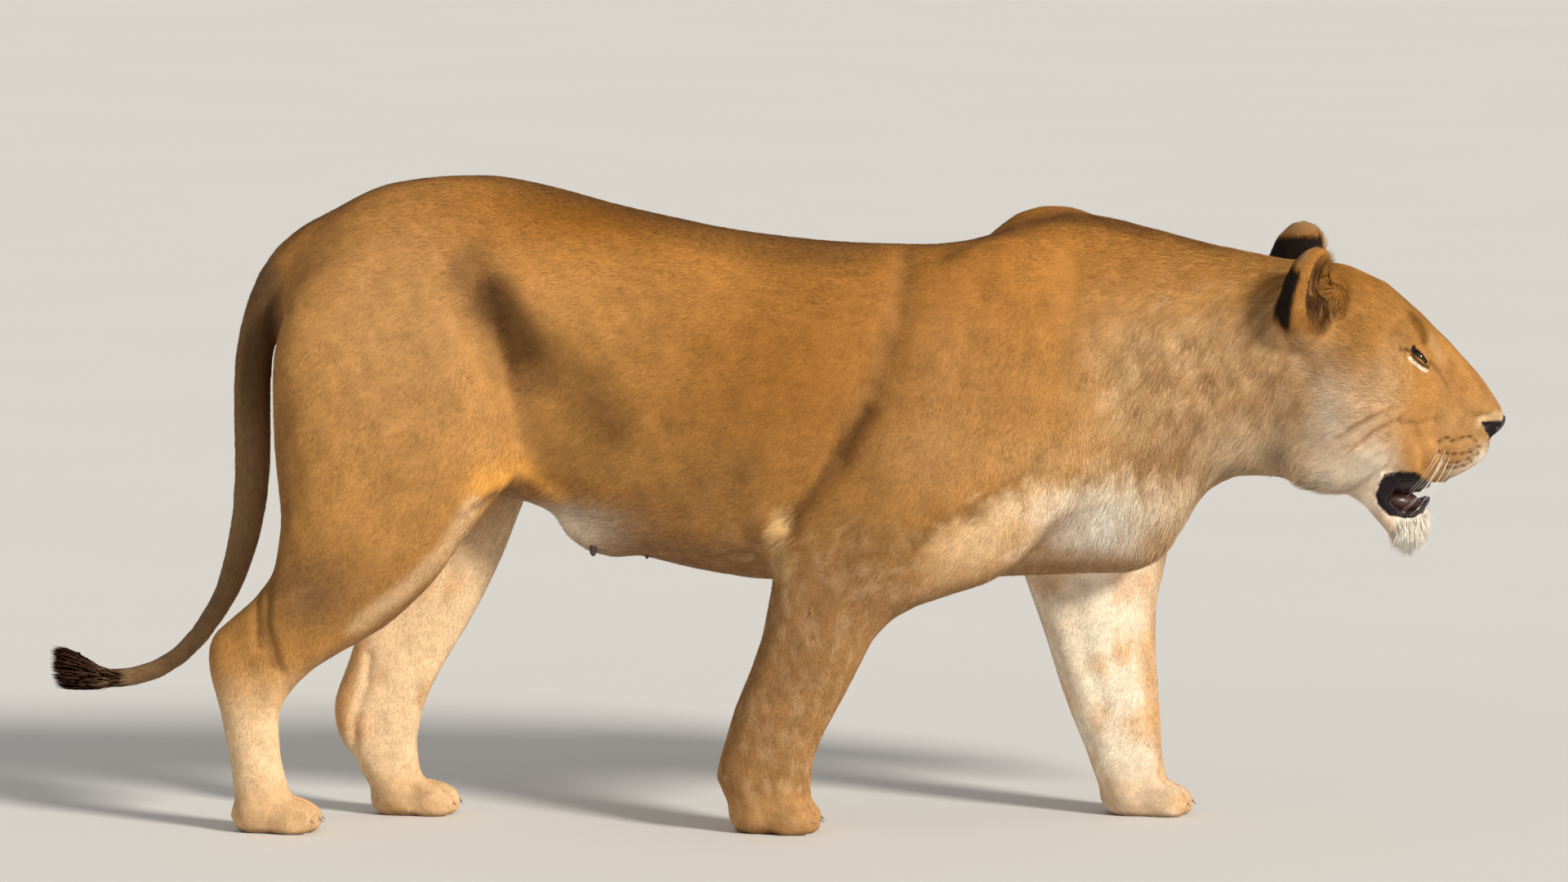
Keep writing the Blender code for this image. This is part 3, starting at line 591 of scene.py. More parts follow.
    @staticmethod
    def _head(on: Canvas) -> None:
        """Forehead, cheeks, muzzle, lips and chin, in the head's frame."""
        x, y, z = on.points.T
        away = np.abs(y)
        on.lay(CROWN_GOLD, 0.85 * soft(z, 0.62, 0.72))
        on.lay(GOLD, 0.42 * soft(z, 0.735, 0.80))
        bridge = mound(HEAD.folded(on.points), (0.975, 0, 0.660), (0.060, 0.034, 0.060))
        on.lay(BRIDGE_GOLD, 0.75 * bridge)
        on.lay(MUZZLE_FAWN, 0.80 * soft(x, 0.91, 0.95) * soft(z, 0.63, 0.58))
        on.lay(CHEEK_PALE, 0.82 * soft(z - 0.9 * (x - 0.80), 0.68, 0.56) * soft(x, 0.915, 0.83))
        on.patches(CHEEK_PATCHES)
        on.lay(MILK, 0.70 * soft(z, 0.575, 0.505) * soft(x, 0.905, 0.85))
        on.patches(JAW_PATCHES)
        on.lay(MILK, 0.45 * soft(z - 0.30 * (x - 0.95), 0.528, 0.508) * soft(x, 0.93, 0.965))
        on.patches(MUZZLE_PATCHES)
        on.lay(NOSE_RIM, 0.75 * on.near(NOSE_TOP, 0.009, 0.003) * soft(x, 0.985, 0.998))
        on.lay(CHIN_WHITE, 0.97 * soft(z, 0.470, 0.452) * soft(x, 0.865, 0.885))
        groove = soft(away, 0.0028, 0.0008) * soft(x, 0.975, 0.990)
        on.lay(BARK, 0.85 * groove * soft(z, 0.508, 0.516) * soft(z, 0.568, 0.556))
        for band in FACE_BANDS:
            share = band.strength * on.near(band.line, band.far, band.near)
            on.lay(band.hue, share * soft(away, *band.aside))
        beside = soft(away, 0.020, 0.030)
        for row in WHISKER_ROWS:
            on.lay(ROW_BROWN, 0.50 * on.near(row, 0.0042, 0.0010) * beside)
            for spot in row:
                gap = np.hypot(*(on.side - np.array(spot)).T)
                on.lay(WHISKER_SPOT, 0.88 * soft(gap, 0.0032, 0.0014) * beside)
        on.lay(LIP_BLACK, lip_share(on.points, on.normals))
        on.lay(GUM_RED, gum_share(on.points, on.normals))
        on.lay(LIP_BLACK, nose_share(on.points))

    def _ear(self, on: Canvas, ear: EarShape) -> None:
        """One ear: black behind with a tawny tip, an orange rim, and a dark hollow, partly its own colour and
        partly painted shade.
        """
        own, on_ear = ear.local(on.points), ear.share(on.points)
        ahead, _, up = own.T
        out = (on.normals * np.array([1, ear.side, 1])) @ ear.matrix()[:, 1]
        on.lay(EAR_ORANGE, 0.90 * on_ear)
        above = up - (0.60 + 0.06 * ahead)
        black = soft(-out, -0.26, 0.04) * on_ear * soft(above, 0.10, -0.04) * soft(up, -0.80, -0.50)
        on.lay(SOOT, 0.98 * black)
        on.lay(EAR_TIP, 0.80 * soft(-out, 0.02, 0.35) * on_ear * soft(above, 0.04, 0.18))
        hollow = soft(np.hypot(ahead * 1.05, up * 0.90), 0.92, 0.40) * soft(out, 0.0, 0.4) * on_ear
        # Partly the dark inside of the ear, partly painted shade in its hollow
        on.lay(EAR_HOLLOW_SHADE, 0.95 * hollow)
        lock = self.fleck(own * np.array([0.060, 0.030, 0.022]))
        on.lay(EAR_GOLD, 0.70 * soft(lock, 0.1, 1.2) * hollow * soft(ahead, -0.75, 0.15))


TRUNK_PATCHES = (
    Patch(GOLD, 0.65, (0.26, 0.76), (0.17, 0.10)),
    Patch(GOLD, 0.60, (0.02, 0.64), (0.20, 0.16)),
    Patch((0.525, 0.275, 0.100), 0.85, (-0.53, 0.72), (0.15, 0.19)),
    Patch((0.385, 0.186, 0.056), 0.75, (0.24, 0.66), (0.12, 0.13)),
    Patch((0.480, 0.255, 0.100), 0.60, (0.21, 0.54), (0.08, 0.06)),
    Patch(UMBER, 0.85, (0.10, 0.37), (0.08, 0.06)),
    Patch((0.230, 0.085, 0.006), 0.85, (-0.24, 0.875), (0.20, 0.042)),
    # Painted shade: the lower barrel, darker towards the belly
    Patch(UMBER, 0.42, (-0.06, 0.52), (0.24, 0.15)),
    Patch((0.27, 0.110, 0.016), 0.50, (0.02, 0.72), (0.14, 0.14)),
)
NECK_PATCHES = (
    # Painted shadow of the cheek and jaw on the neck behind the head
    Patch((0.200, 0.120, 0.070), 0.45, (0.712, 0.575), (0.018, 0.060)),
    Patch((0.580, 0.325, 0.135), 0.65, (0.390, 0.530), (0.075, 0.036)),
)
CHEEK_PATCHES = (
    Patch((0.950, 0.770, 0.590), 0.90, (0.762, 0.595), (0.050, 0.070)),
    # Painted shadow of the cheek and jaw on the neck behind the head
    Patch((0.180, 0.110, 0.065), 0.50, (0.712, 0.575), (0.018, 0.060)),
)
JAW_PATCHES = (
    Patch(MILK, 0.60, (0.842, 0.538), (0.028, 0.030)),
    Patch(UMBER, 0.45, (0.822, 0.498), (0.030, 0.016)),
)
MUZZLE_PATCHES = (
    Patch(MILK, 0.90, (1.008, 0.526), (0.020, 0.019)),
    Patch((0.55, 0.27, 0.09), 0.60, (0.915, 0.548), (0.022, 0.030)),
)

# Bands of shade on the body: a line in X and Z, its reach, its colour and its strength
BODY_SHADES = (
    (((-0.430, 0.800), (-0.400, 0.745), (-0.372, 0.700), (-0.350, 0.660)), 0.062, BARK, 0.58),
    (((-0.395, 0.765), (-0.372, 0.725), (-0.352, 0.690)), 0.046, (0.024, 0.009, 0.001), 0.74),
    (((-0.345, 0.700), (-0.280, 0.640), (-0.235, 0.580)), 0.060, (0.130, 0.060, 0.016), 0.50),
    (((-0.360, 0.640), (-0.350, 0.580), (-0.335, 0.540)), 0.028, UMBER, 0.35),
    (((0.179, 0.800), (0.168, 0.722), (0.133, 0.628), (0.085, 0.535)), 0.028, UMBER, 0.42),
    (((0.127, 0.600), (0.080, 0.530), (0.045, 0.475), (0.020, 0.445)), 0.014, BARK, 0.72),
    (((0.394, 0.545), (0.347, 0.505), (0.289, 0.468), (0.243, 0.444), (0.19, 0.42)), 0.022, BARK, 0.50),
    (((0.090, 0.450), (0.130, 0.425), (0.190, 0.405)), 0.030, UMBER, 0.45),
    (((0.300, 0.860), (0.345, 0.868), (0.450, 0.862), (0.525, 0.845)), 0.011, BARK, 0.45),
    (((-0.705, 0.440), (-0.726, 0.370), (-0.724, 0.300), (-0.706, 0.240)), 0.010, BARK, 0.55),
    (((-0.780, 0.395), (-0.745, 0.390)), 0.018, BARK, 0.35),
    (((-0.690, 0.600), (-0.700, 0.520), (-0.695, 0.440)), 0.026, UMBER, 0.40),
    (((-0.700, 0.860), (-0.712, 0.800), (-0.706, 0.700)), 0.020, UMBER, 0.40),
    (((-0.060, 0.520), (-0.130, 0.470), (-0.210, 0.450)), 0.045, UMBER, 0.32),
)
FLANK_FOLD = ((-0.41, 0.500), (-0.36, 0.512), (-0.31, 0.470))
CHEST_EDGE = (
    (0.20, 0.415), (0.243, 0.440), (0.289, 0.462), (0.347, 0.490),
    (0.394, 0.506), (0.45, 0.510), (0.60, 0.494),
)
THIGH_EDGE = ((-0.425, 0.475), (-0.465, 0.405), (-0.530, 0.345), (-0.590, 0.300))
FORELEG_SPOTS = (
    (0.497, 0.242), (0.459, 0.218), (0.530, 0.252), (0.530, 0.199),
    (0.535, 0.150), (0.506, 0.137), (0.520, 0.118),
)
ELBOW_RIGHT = ((0.010, 0.452), (0.004, 0.420), (0.008, 0.380))
ELBOW_LEFT = ((0.300, 0.452), (0.304, 0.410))

# Bands on both sides of the face, in the head's frame: brow, over, under and behind the eye,
# the line of the tears and painted shade in the hollow beside it, and painted shade in the folds of the cheek
FACE_BANDS = (
    Band(
        (0.18, 0.075, 0.012), 0.88, ((0.900, 0.736), (0.910, 0.716), (0.918, 0.698)),
        0.0105, 0.002, (0.026, 0.040),
    ),
    Band(
        (0.66, 0.40, 0.19), 0.40, ((0.927, 0.697), (0.934, 0.682), (0.943, 0.668)),
        0.012, 0.002, (0.020, 0.032),
    ),
    Band(
        MILK, 0.80, ((0.8950, 0.6765), (0.9035, 0.6675), (0.9125, 0.6600), (0.9190, 0.6565)),
        0.0042, 0.0010, (0.030, 0.040),
    ),
    Band(
        (0.040, 0.020, 0.012), 0.80, ((0.8974, 0.6809), (0.9059, 0.6719), (0.9149, 0.6644), (0.9214, 0.6609)),
        0.0042, 0.0014, (0.030, 0.040),
    ),
    Band(BARK, 0.75, ((0.880, 0.689), (0.890, 0.688), (0.899, 0.685)), 0.0042, 0.0012, (0.030, 0.040)),
    Band(
        BARK, 0.60, ((0.923, 0.668), (0.932, 0.660), (0.942, 0.646), (0.950, 0.632)),
        0.0050, 0.0012, (0.022, 0.032),
    ),
    # Painted shade in the hollow in front of the eye
    Band(
        (0.34, 0.165, 0.055), 0.45, ((0.940, 0.655), (0.952, 0.630), (0.964, 0.610)),
        0.020, 0.004, (0.022, 0.040),
    ),
    # Painted shade in the three folds of the cheek
    Band(UMBER, 0.55, ((0.798, 0.575), (0.826, 0.596), (0.862, 0.610)), 0.006, 0.001, (0.04, 0.06)),
    Band(UMBER, 0.55, ((0.818, 0.560), (0.846, 0.582), (0.880, 0.594)), 0.006, 0.001, (0.04, 0.06)),
    Band(UMBER, 0.55, ((0.880, 0.590), (0.905, 0.585), (0.930, 0.590)), 0.006, 0.001, (0.04, 0.06)),
)

# Lines of the face, as X and Z in the head's frame
NOSE_TOP = ((0.992, 0.576), (1.000, 0.584), (1.020, 0.586), (1.045, 0.583))
NOSE_WEDGE = ((0.9965, 0.5800), (1.0142, 0.5470), (1.0450, 0.5740), (1.0450, 0.5800))
MOUTH_OUTLINE = (
    (0.8605, 0.5125), (0.8520, 0.4980), (0.8475, 0.4810), (0.8510, 0.4660), (0.8680, 0.4470),
    (0.8924, 0.4395), (0.9300, 0.4540), (0.9345, 0.4854), (0.9070, 0.5135), (0.8850, 0.5160),
)
MUZZLE_PROFILE = (
    (0.4840, 0.9450), (0.4980, 0.9620), (0.5064, 0.9800), (0.5219, 1.0055),
    (0.5345, 1.0125), (0.5480, 1.0142), (0.5757, 1.0370), (0.5900, 1.0370),
)
MUZZLE_WIDTH = ((0.940, 0.090), (0.965, 0.061), (0.985, 0.046), (1.005, 0.036), (1.030, 0.027))
NOSTRIL_SLIT = ((0.9985, 0.5655), (1.0030, 0.5735), (1.0110, 0.5770))
WHISKER_ROWS = (
    ((0.9374, 0.556), (0.9498, 0.562), (0.9578, 0.556), (0.9716, 0.561), (0.9820, 0.561), (0.9916, 0.553)),
    ((0.9366, 0.542), (0.9490, 0.539), (0.9606, 0.538), (0.9713, 0.538), (0.9824, 0.540), (0.9960, 0.545)),
    ((0.9432, 0.529), (0.9548, 0.526), (0.9650, 0.526), (0.9794, 0.530), (0.9940, 0.537)),
    ((0.9500, 0.519), (0.9620, 0.518), (0.9740, 0.521), (0.9840, 0.526)),
)
UPPER_LIP = ((0.862, 0.513), (0.880, 0.506), (0.905, 0.500), (0.933, 0.494), (0.960, 0.497), (0.986, 0.508))
LOWER_LIP = ((0.856, 0.510), (0.850, 0.488), (0.860, 0.466), (0.876, 0.452), (0.895, 0.447), (0.925, 0.456))
MOUTH_MIDDLE = (0.905, 0.0, 0.484)


def inside(slope: Array, corners: Sequence[tuple[float, float]]) -> Array:
    """How far places lie within a round outline, in metres, and under 0 outside it.

    Args:
        slope: Places as X and Z.
        corners: The outline, going round against the clock.

    Returns:
        One distance for each place.
    """
    least = np.full(len(slope), np.inf)
    outline = np.array(corners)
    for a, b in zip(outline, np.roll(outline, -1, axis=0)):
        along = unit(b - a)
        least = np.minimum(least, (slope[:, 1] - a[1]) * along[0] - (slope[:, 0] - a[0]) * along[1])
    return least


def nose_share(h: Array) -> Array:
    """1 on the bare black skin round the nostrils, 0 on the coat, in the head's frame."""
    beside = np.interp(h[:, 2], (0.540, 0.552, 0.575), (0.026, 0.036, 0.040))
    wedge = soft(inside(h[:, ::2], NOSE_WEDGE), -0.0006, 0.0012)
    return wedge * soft(np.abs(h[:, 1]) - beside, 0.003, -0.003)


def lip_share(h: Array, n: Array) -> Array:
    """1 on the black lips and inside the mouth, 0 on the coat, in the head's frame."""
    slope = h[:, ::2]
    upper = soft(line_distance(slope, np.array(UPPER_LIP)), 0.0050, 0.0030)
    upper = upper * soft(h[:, 2], 0.512, 0.506) * soft(h[:, 0], 0.935, 0.905)
    corner = soft(inside(slope, MOUTH_OUTLINE), -0.0010, 0.0012)
    return np.maximum(np.maximum(upper * 0.9, corner), mouth_share(h, n))


def mouth_share(h: Array, n: Array) -> Array:
    """1 where the skin faces the middle of the open mouth, 0 elsewhere."""
    gap = np.array(MOUTH_MIDDLE) - h
    near = soft(np.abs(gap[:, 0]), 0.075, 0.062) * soft(np.abs(gap[:, 2]), 0.048, 0.038)
    near = near * soft(np.abs(gap[:, 1]), 0.068, 0.060)
    return near * soft((unit(gap) * n).sum(1), 0.05, 0.28)


def gum_share(h: Array, n: Array) -> Array:
    """1 on the dark red roof and floor of the mouth."""
    return 0.9 * mouth_share(h, n) * soft(np.abs(h[:, 1]), 0.044, 0.030)


# The skin


@dataclass(frozen=True)
class Stroke:
    """A crease or a ridge pressed into the skin along a line seen from the side.

    Its height is in metres, under 0 for a crease. Side is 1 for the left, -1 for the right and
    0 for both. Outer strokes leave out what faces the midline.
    """

    line: tuple[tuple[float, float], ...]
    reach: float
    height: float
    side: int = 0
    outer: bool = True


@dataclass(frozen=True)
class Swell:
    """A bulge, or a hollow if its height is under 0, the same on both sides of the head."""

    centre: Point
    radii: Point
    height: float


BODY_STROKES = (
    Stroke(((0.179, 0.827), (0.168, 0.722), (0.133, 0.628), (0.085, 0.545)), 0.020, -0.0075, -1),
    Stroke(((0.127, 0.600), (0.080, 0.525), (0.045, 0.475), (0.015, 0.445)), 0.015, -0.0095, -1),
    Stroke(((0.240, 0.74), (0.205, 0.62), (0.150, 0.52)), 0.045, 0.0060, -1),
    Stroke(((0.255, 0.83), (0.245, 0.72), (0.225, 0.60), (0.225, 0.50)), 0.020, -0.0055, 1),
    Stroke(((0.417, 0.803), (0.405, 0.699), (0.394, 0.582)), 0.024, -0.0045, 0),
    Stroke(((0.394, 0.550), (0.347, 0.508), (0.289, 0.472), (0.243, 0.448), (0.19, 0.42)), 0.016, -0.008, -1),
    Stroke(((0.300, 0.800), (0.262, 0.700), (0.245, 0.600)), 0.018, -0.0025, -1),
    Stroke(((0.330, 0.600), (0.290, 0.530), (0.230, 0.480)), 0.030, 0.0050, -1),
    Stroke(((-0.425, 0.800), (-0.405, 0.730), (-0.385, 0.660), (-0.365, 0.590)), 0.050, -0.0130, 0),
    Stroke(((-0.340, 0.700), (-0.290, 0.630), (-0.240, 0.560)), 0.045, -0.0040, 0),
    Stroke(((-0.395, 0.722), (-0.372, 0.628), (-0.362, 0.558)), 0.014, -0.0045, -1),
    Stroke(((-0.500, 0.760), (-0.455, 0.680), (-0.430, 0.600)), 0.030, 0.0045, -1),
    Stroke(((-0.440, 0.470), (-0.407, 0.494), (-0.360, 0.508), (-0.310, 0.468)), 0.014, 0.0055, -1),
    Stroke(((-0.420, 0.462), (-0.395, 0.478), (-0.355, 0.480)), 0.012, -0.0050, -1),
    Stroke(((-0.705, 0.440), (-0.717, 0.384), (-0.720, 0.303), (-0.700, 0.233)), 0.0075, -0.0060, -1),
    Stroke(((-0.736, 0.360), (-0.732, 0.270)), 0.0070, -0.0045, -1),
    Stroke(((-0.583, 0.230), (-0.587, 0.187), (-0.604, 0.140), (-0.607, 0.060)), 0.0080, -0.0045, 1, False),
    Stroke(((-0.500, 0.600), (-0.560, 0.520), (-0.620, 0.440), (-0.680, 0.400)), 0.022, -0.0035, 0),
    Stroke(((-0.700, 0.640), (-0.690, 0.540), (-0.680, 0.460)), 0.022, -0.0035, 0),
    Stroke(((-0.700, 0.860), (-0.712, 0.790), (-0.706, 0.700)), 0.018, -0.0035, 0),
    Stroke(((-0.560, 0.800), (-0.480, 0.760), (-0.420, 0.700)), 0.028, -0.0030, 0),
    Stroke(((-0.020, 0.452), (-0.012, 0.425)), 0.020, 0.0060, -1),
    Stroke(((0.060, 0.360), (0.020, 0.270), (-0.015, 0.190)), 0.014, -0.0030, -1, False),
    Stroke(((0.420, 0.330), (0.440, 0.240), (0.465, 0.150)), 0.014, -0.0030, 1, False),
    Stroke(((0.000, 0.700), (-0.040, 0.560), (-0.090, 0.450)), 0.020, -0.0016, 0),
    Stroke(((-0.060, 0.700), (-0.100, 0.560), (-0.150, 0.450)), 0.020, -0.0016, 0),
    Stroke(((-0.120, 0.690), (-0.160, 0.570), (-0.205, 0.460)), 0.020, -0.0016, 0),
)
HEAD_STROKES = (
    Stroke(((0.885, 0.715), (0.905, 0.708), (0.928, 0.694)), 0.010, 0.0030),
    Stroke(((0.936, 0.690), (0.950, 0.664), (0.968, 0.640)), 0.012, -0.0035),
    Stroke(((0.880, 0.640), (0.905, 0.636), (0.930, 0.630)), 0.013, -0.0030),
    Stroke(((0.808, 0.583), (0.830, 0.598), (0.862, 0.610)), 0.0075, -0.0024),
    Stroke(((0.828, 0.568), (0.850, 0.584), (0.880, 0.594)), 0.0075, -0.0021),
    Stroke(((0.812, 0.592), (0.836, 0.602), (0.866, 0.619)), 0.0080, 0.0014),
    Stroke(((0.900, 0.570), (0.912, 0.548), (0.914, 0.520)), 0.010, -0.0035),
    Stroke(((0.880, 0.590), (0.905, 0.585), (0.930, 0.590)), 0.008, -0.0025),
    Stroke(((0.965, 0.600), (0.985, 0.590), (1.000, 0.588)), 0.008, -0.0020),
    Stroke(((0.930, 0.558), (0.960, 0.556), (0.990, 0.554)), 0.004, -0.0014),
    Stroke(((0.936, 0.543), (0.965, 0.542), (0.992, 0.546)), 0.004, -0.0014),
    Stroke(((0.940, 0.531), (0.965, 0.531), (0.988, 0.535)), 0.004, -0.0012),
    Stroke(((0.868, 0.511), (0.905, 0.500), (0.933, 0.495), (0.962, 0.497)), 0.0055, 0.0022),
)
HEAD_SWELLS = (
    Swell((0.908, 0.046, 0.716), (0.022, 0.018, 0.018), 0.0055),
    Swell((0.930, 0.000, 0.700), (0.022, 0.016, 0.025), -0.0030),
    Swell((0.940, 0.038, 0.652), (0.016, 0.012, 0.018), -0.0050),
    Swell((0.885, 0.078, 0.638), (0.030, 0.025, 0.022), 0.0040),
    Swell((0.978, 0.036, 0.550), (0.024, 0.016, 0.020), 0.0030),
    Swell((0.924, 0.052, 0.566), (0.012, 0.014, 0.016), -0.0040),
    Swell((1.020, 0.000, 0.528), (0.022, 0.0030, 0.020), -0.0030),
    Swell((0.858, 0.078, 0.702), (0.026, 0.022, 0.026), -0.0040),
)


@dataclass(frozen=True)
class PawPlace:
    """Where a foot stands: its heel, how far it turns out in degrees, and how wide a toe is."""

    x: float
    y: float
    splay: float
    toe_width: float

    def local(self, points: Array) -> Array:
        """Places seen from the heel: ahead, aside and up."""
        turn = math.radians(self.splay)
        away = points - np.array([self.x, self.y, 0])
        ahead = away[:, 0] * math.cos(turn) + away[:, 1] * math.sin(turn)
        aside = -away[:, 0] * math.sin(turn) + away[:, 1] * math.cos(turn)
        return np.stack([ahead, aside, away[:, 2]], 1)

    def place(self, local: Sequence[float]) -> Array:
        """A place seen from the heel, in the row's frame."""
        turn = math.radians(self.splay)
        ahead, aside, up = local
        x = self.x + ahead * math.cos(turn) - aside * math.sin(turn)
        y = self.y + ahead * math.sin(turn) + aside * math.cos(turn)
        return np.array([x, y, up])


PAWS = (
    PawPlace(-0.0192, -0.094, -3.0, 0.024),
    PawPlace(0.5128, 0.087, 3.0, 0.024),
    PawPlace(-0.7272, -0.090, -4.0, 0.021),
    PawPlace(-0.5372, 0.088, 4.0, 0.021),
)


@dataclass(frozen=True)
class Flow:
    """The way the hair points in one region seen from the side, from root to tip."""

    centre: Spot
    radii: Spot
    way: Spot


@dataclass(frozen=True)
class Lie:
    """How the coat grows: its direction, length and depth at each place. Sizes are in metres."""

    flow_breadth: float = 0.3
    body_hair: float = 0.0112
    face_hair: float = 0.0108
    ear_hair: float = 0.008
    ear_fringe: float = 0.024
    tail_hair: float = 0.011
    tail_tuft: float = 0.040
    deepest: float = 0.0120
    sway: Waves = field(default_factory=lambda: Waves(0.060, 21))
    swirl: Waves = field(default_factory=lambda: Waves(0.022, 22))
    flows: tuple[Flow, ...] = (
        Flow((-0.60, 0.88), (0.22, 0.10), (-1.0, -0.10)),
        Flow((-0.62, 0.68), (0.16, 0.14), (-0.55, -0.83)),
        Flow((-0.46, 0.52), (0.14, 0.12), (-0.45, -0.89)),
        Flow((-0.20, 0.86), (0.30, 0.08), (-1.0, -0.05)),
        Flow((-0.15, 0.62), (0.26, 0.14), (-0.90, -0.42)),
        Flow((-0.15, 0.42), (0.30, 0.08), (-0.93, -0.30)),
        Flow((0.28, 0.82), (0.16, 0.07), (-1.0, -0.10)),
        Flow((0.28, 0.62), (0.15, 0.14), (-0.45, -0.89)),
        Flow((0.52, 0.80), (0.14, 0.08), (-0.97, -0.22)),
        Flow((0.55, 0.66), (0.14, 0.10), (-0.40, -0.92)),
        Flow((0.48, 0.50), (0.12, 0.08), (-0.08, -1.00)),
        Flow((0.70, 0.54), (0.10, 0.06), (-0.60, -0.80)),
        Flow((-0.10, 0.15), (1.20, 0.20), (-0.10, -1.0)),
        Flow((-0.70, 0.36), (0.12, 0.08), (-0.60, -0.80)),
    )
    face_flows: tuple[Flow, ...] = (
        Flow((0.76, 0.79), (0.06, 0.06), (-0.95, 0.15)),
        Flow((0.87, 0.72), (0.07, 0.06), (-0.80, 0.58)),
        Flow((0.96, 0.64), (0.05, 0.06), (-0.76, 0.62)),
        Flow((1.00, 0.54), (0.04, 0.04), (-0.90, 0.05)),
        Flow((0.95, 0.54), (0.04, 0.04), (-0.92, -0.35)),
        Flow((0.86, 0.62), (0.06, 0.05), (-0.93, 0.05)),
        Flow((0.80, 0.68), (0.05, 0.05), (-0.95, 0.25)),
        Flow((0.79, 0.56), (0.06, 0.06), (-0.85, -0.50)),
        Flow((0.84, 0.53), (0.03, 0.03), (-0.60, -0.75)),
        Flow((0.89, 0.42), (0.05, 0.05), (-0.06, -1.0)),
    )

    def direction(self, points: Array, normals: Array) -> Array:
        """The way the hair points along the skin, from root to tip.

        Args:
            points: Places in the row's frame.
            normals: The way out of the skin at each.

        Returns:
            Unit directions in the plane of the skin.
        """
        way = self._blend(points, self.flows)
        upright = HEAD.upright(points)
        face = HEAD.leaning_way(self._blend(upright, self.face_flows))
        way += soft(points[:, 0], 0.70, 0.78)[:, None] * (face - way)
        tail = TAIL.share(points)[:, None]
        way += tail * (TAIL.way(points) - way)
        for ear in EARS:
            own = ear.local(upright)
            up = ear.way((0.0, 0.0, 1.0)) + own[:, :1] * 0.9 * ear.way((1.0, 0.0, 0.0))
            way += ear.share(upright)[:, None] * (up - way)
            over = ear.way((-0.9, 0.5, 0.75))
            way += ear.fringe(upright)[:, None] * (over - way)
        way = way - (way * normals).sum(1)[:, None] * normals
        way = unit(way + 1e-6)
        across = np.cross(normals, way)
        turn = 0.16 * self.sway(points) + 0.10 * self.swirl(points)
        return unit(way + across * turn[:, None])

    def _blend(self, points: Array, flows: Sequence[Flow]) -> Array:
        """Mixes the flows by how near each one is."""
        total, weight = np.zeros((len(points), 3)), np.full((len(points), 1), 1e-9)
        for flow in flows:
            centre = np.array([flow.centre[0], 0, flow.centre[1]])
            radii = np.array([flow.radii[0], self.flow_breadth, flow.radii[1]])
            share = np.exp(-0.8 * (((points - centre) / radii) ** 2).sum(1))[:, None] + 1e-7
            total += share * np.array([flow.way[0], 0, flow.way[1]])
            weight += share
        return unit(total / weight)

    def length(self, points: Array, normals: Array) -> Array:
        """The length of the hair, in metres.

        Args:
            points: Places in the row's frame.
            normals: The way out of the skin at each.

        Returns:
            One length for each place.
        """
        x, y, z = points.T
        side = points[:, ::2]
        long = np.full(len(points), self.body_hair)
        neck = soft(x, 0.42, 0.55) * soft(x, 0.84, 0.76) * soft(z, 0.36, 0.42)
        long += 0.006 * neck + 0.005 * neck * soft(z, 0.62, 0.50)
        long += 0.004 * mound(side, (0.46, 0.46), (0.09, 0.07)) * soft(z, 0.37, 0.42)
        under = soft(-normals[:, 2], 0.3, 0.8) * soft(z, 0.60, 0.46) * soft(z, 0.28, 0.34)
        long += 0.004 * under
        long += 0.014 * mound(side, (0.010, 0.430), (0.020, 0.030)) * (y < 0)
        long += 0.012 * mound(side, (0.302, 0.432), (0.020, 0.026)) * (y > 0)
        long += 0.003 * mound(side, (-0.33, 0.485), (0.06, 0.025))
        short_leg = soft(z, 0.42, 0.28) * soft(x, 0.74, 0.64)
        long = long * (1 - 0.22 * short_leg)
        long = long * (1 - 0.30 * soft(z, 0.10, 0.05) * soft(x, 0.74, 0.64))
        h = HEAD.upright(points)
        face = self.face_hair - 0.0045 * soft(h[:, 0], 0.84, 0.95)
        face += 0.012 * mound(h[:, ::2], (0.775, 0.555), (0.070, 0.065))
        face += 0.019 * self.chin(h)
        face -= 0.0025 * mound(h[:, ::2], (0.912, 0.682), (0.024, 0.020))
        long += soft(x, 0.78, 0.86) * (face - long)
        for ear in EARS:
            own = ear.local(h)
            hollow = soft(own[:, 1], 0.0, 0.5) * soft(np.hypot(own[:, 0], own[:, 2]), 0.9, 0.5)
            long += ear.share(h) * (self.ear_hair + 0.010 * hollow - long)
            long += ear.fringe(h) * (self.ear_fringe - long)
        long += TAIL.share(points) * (self.tail_hair - long)
        return long + soft(x, -0.92, -0.96) * (self.tail_tuft - long)

    @staticmethod
    def chin(h: Array) -> Array:
        """1 on the underside of the chin and 0 off it, for places in the head's frame."""
        return soft(h[:, 2], 0.466, 0.440) * soft(h[:, 0], 0.860, 0.880)

    def lift(self, points: Array, normals: Array) -> Array:
        """How steeply the hair stands off the skin, in radians."""
        length = self.length(points, normals)
        lift = np.interp(length, [0.006, 0.011, 0.020, 0.028, 0.040], np.radians([7.0, 6.0, 7.5, 9.5, 9]))
        down = soft(-normals[:, 2], 0.2, 0.9)
        h = HEAD.upright(points)
        fringe = np.maximum(EARS[0].fringe(h), EARS[1].fringe(h))
        return lift + self.chin(h) * (0.10 + 0.45 * down) + 0.22 * fringe

    def depth(self, points: Array, normals: Array) -> Array:
        """How deep the skin lies under the tips of the coat, in metres."""
        deep = self.length(points, normals) * np.sin(self.lift(points, normals)) * 0.95 + 0.0003
        return np.minimum(deep, self.deepest)


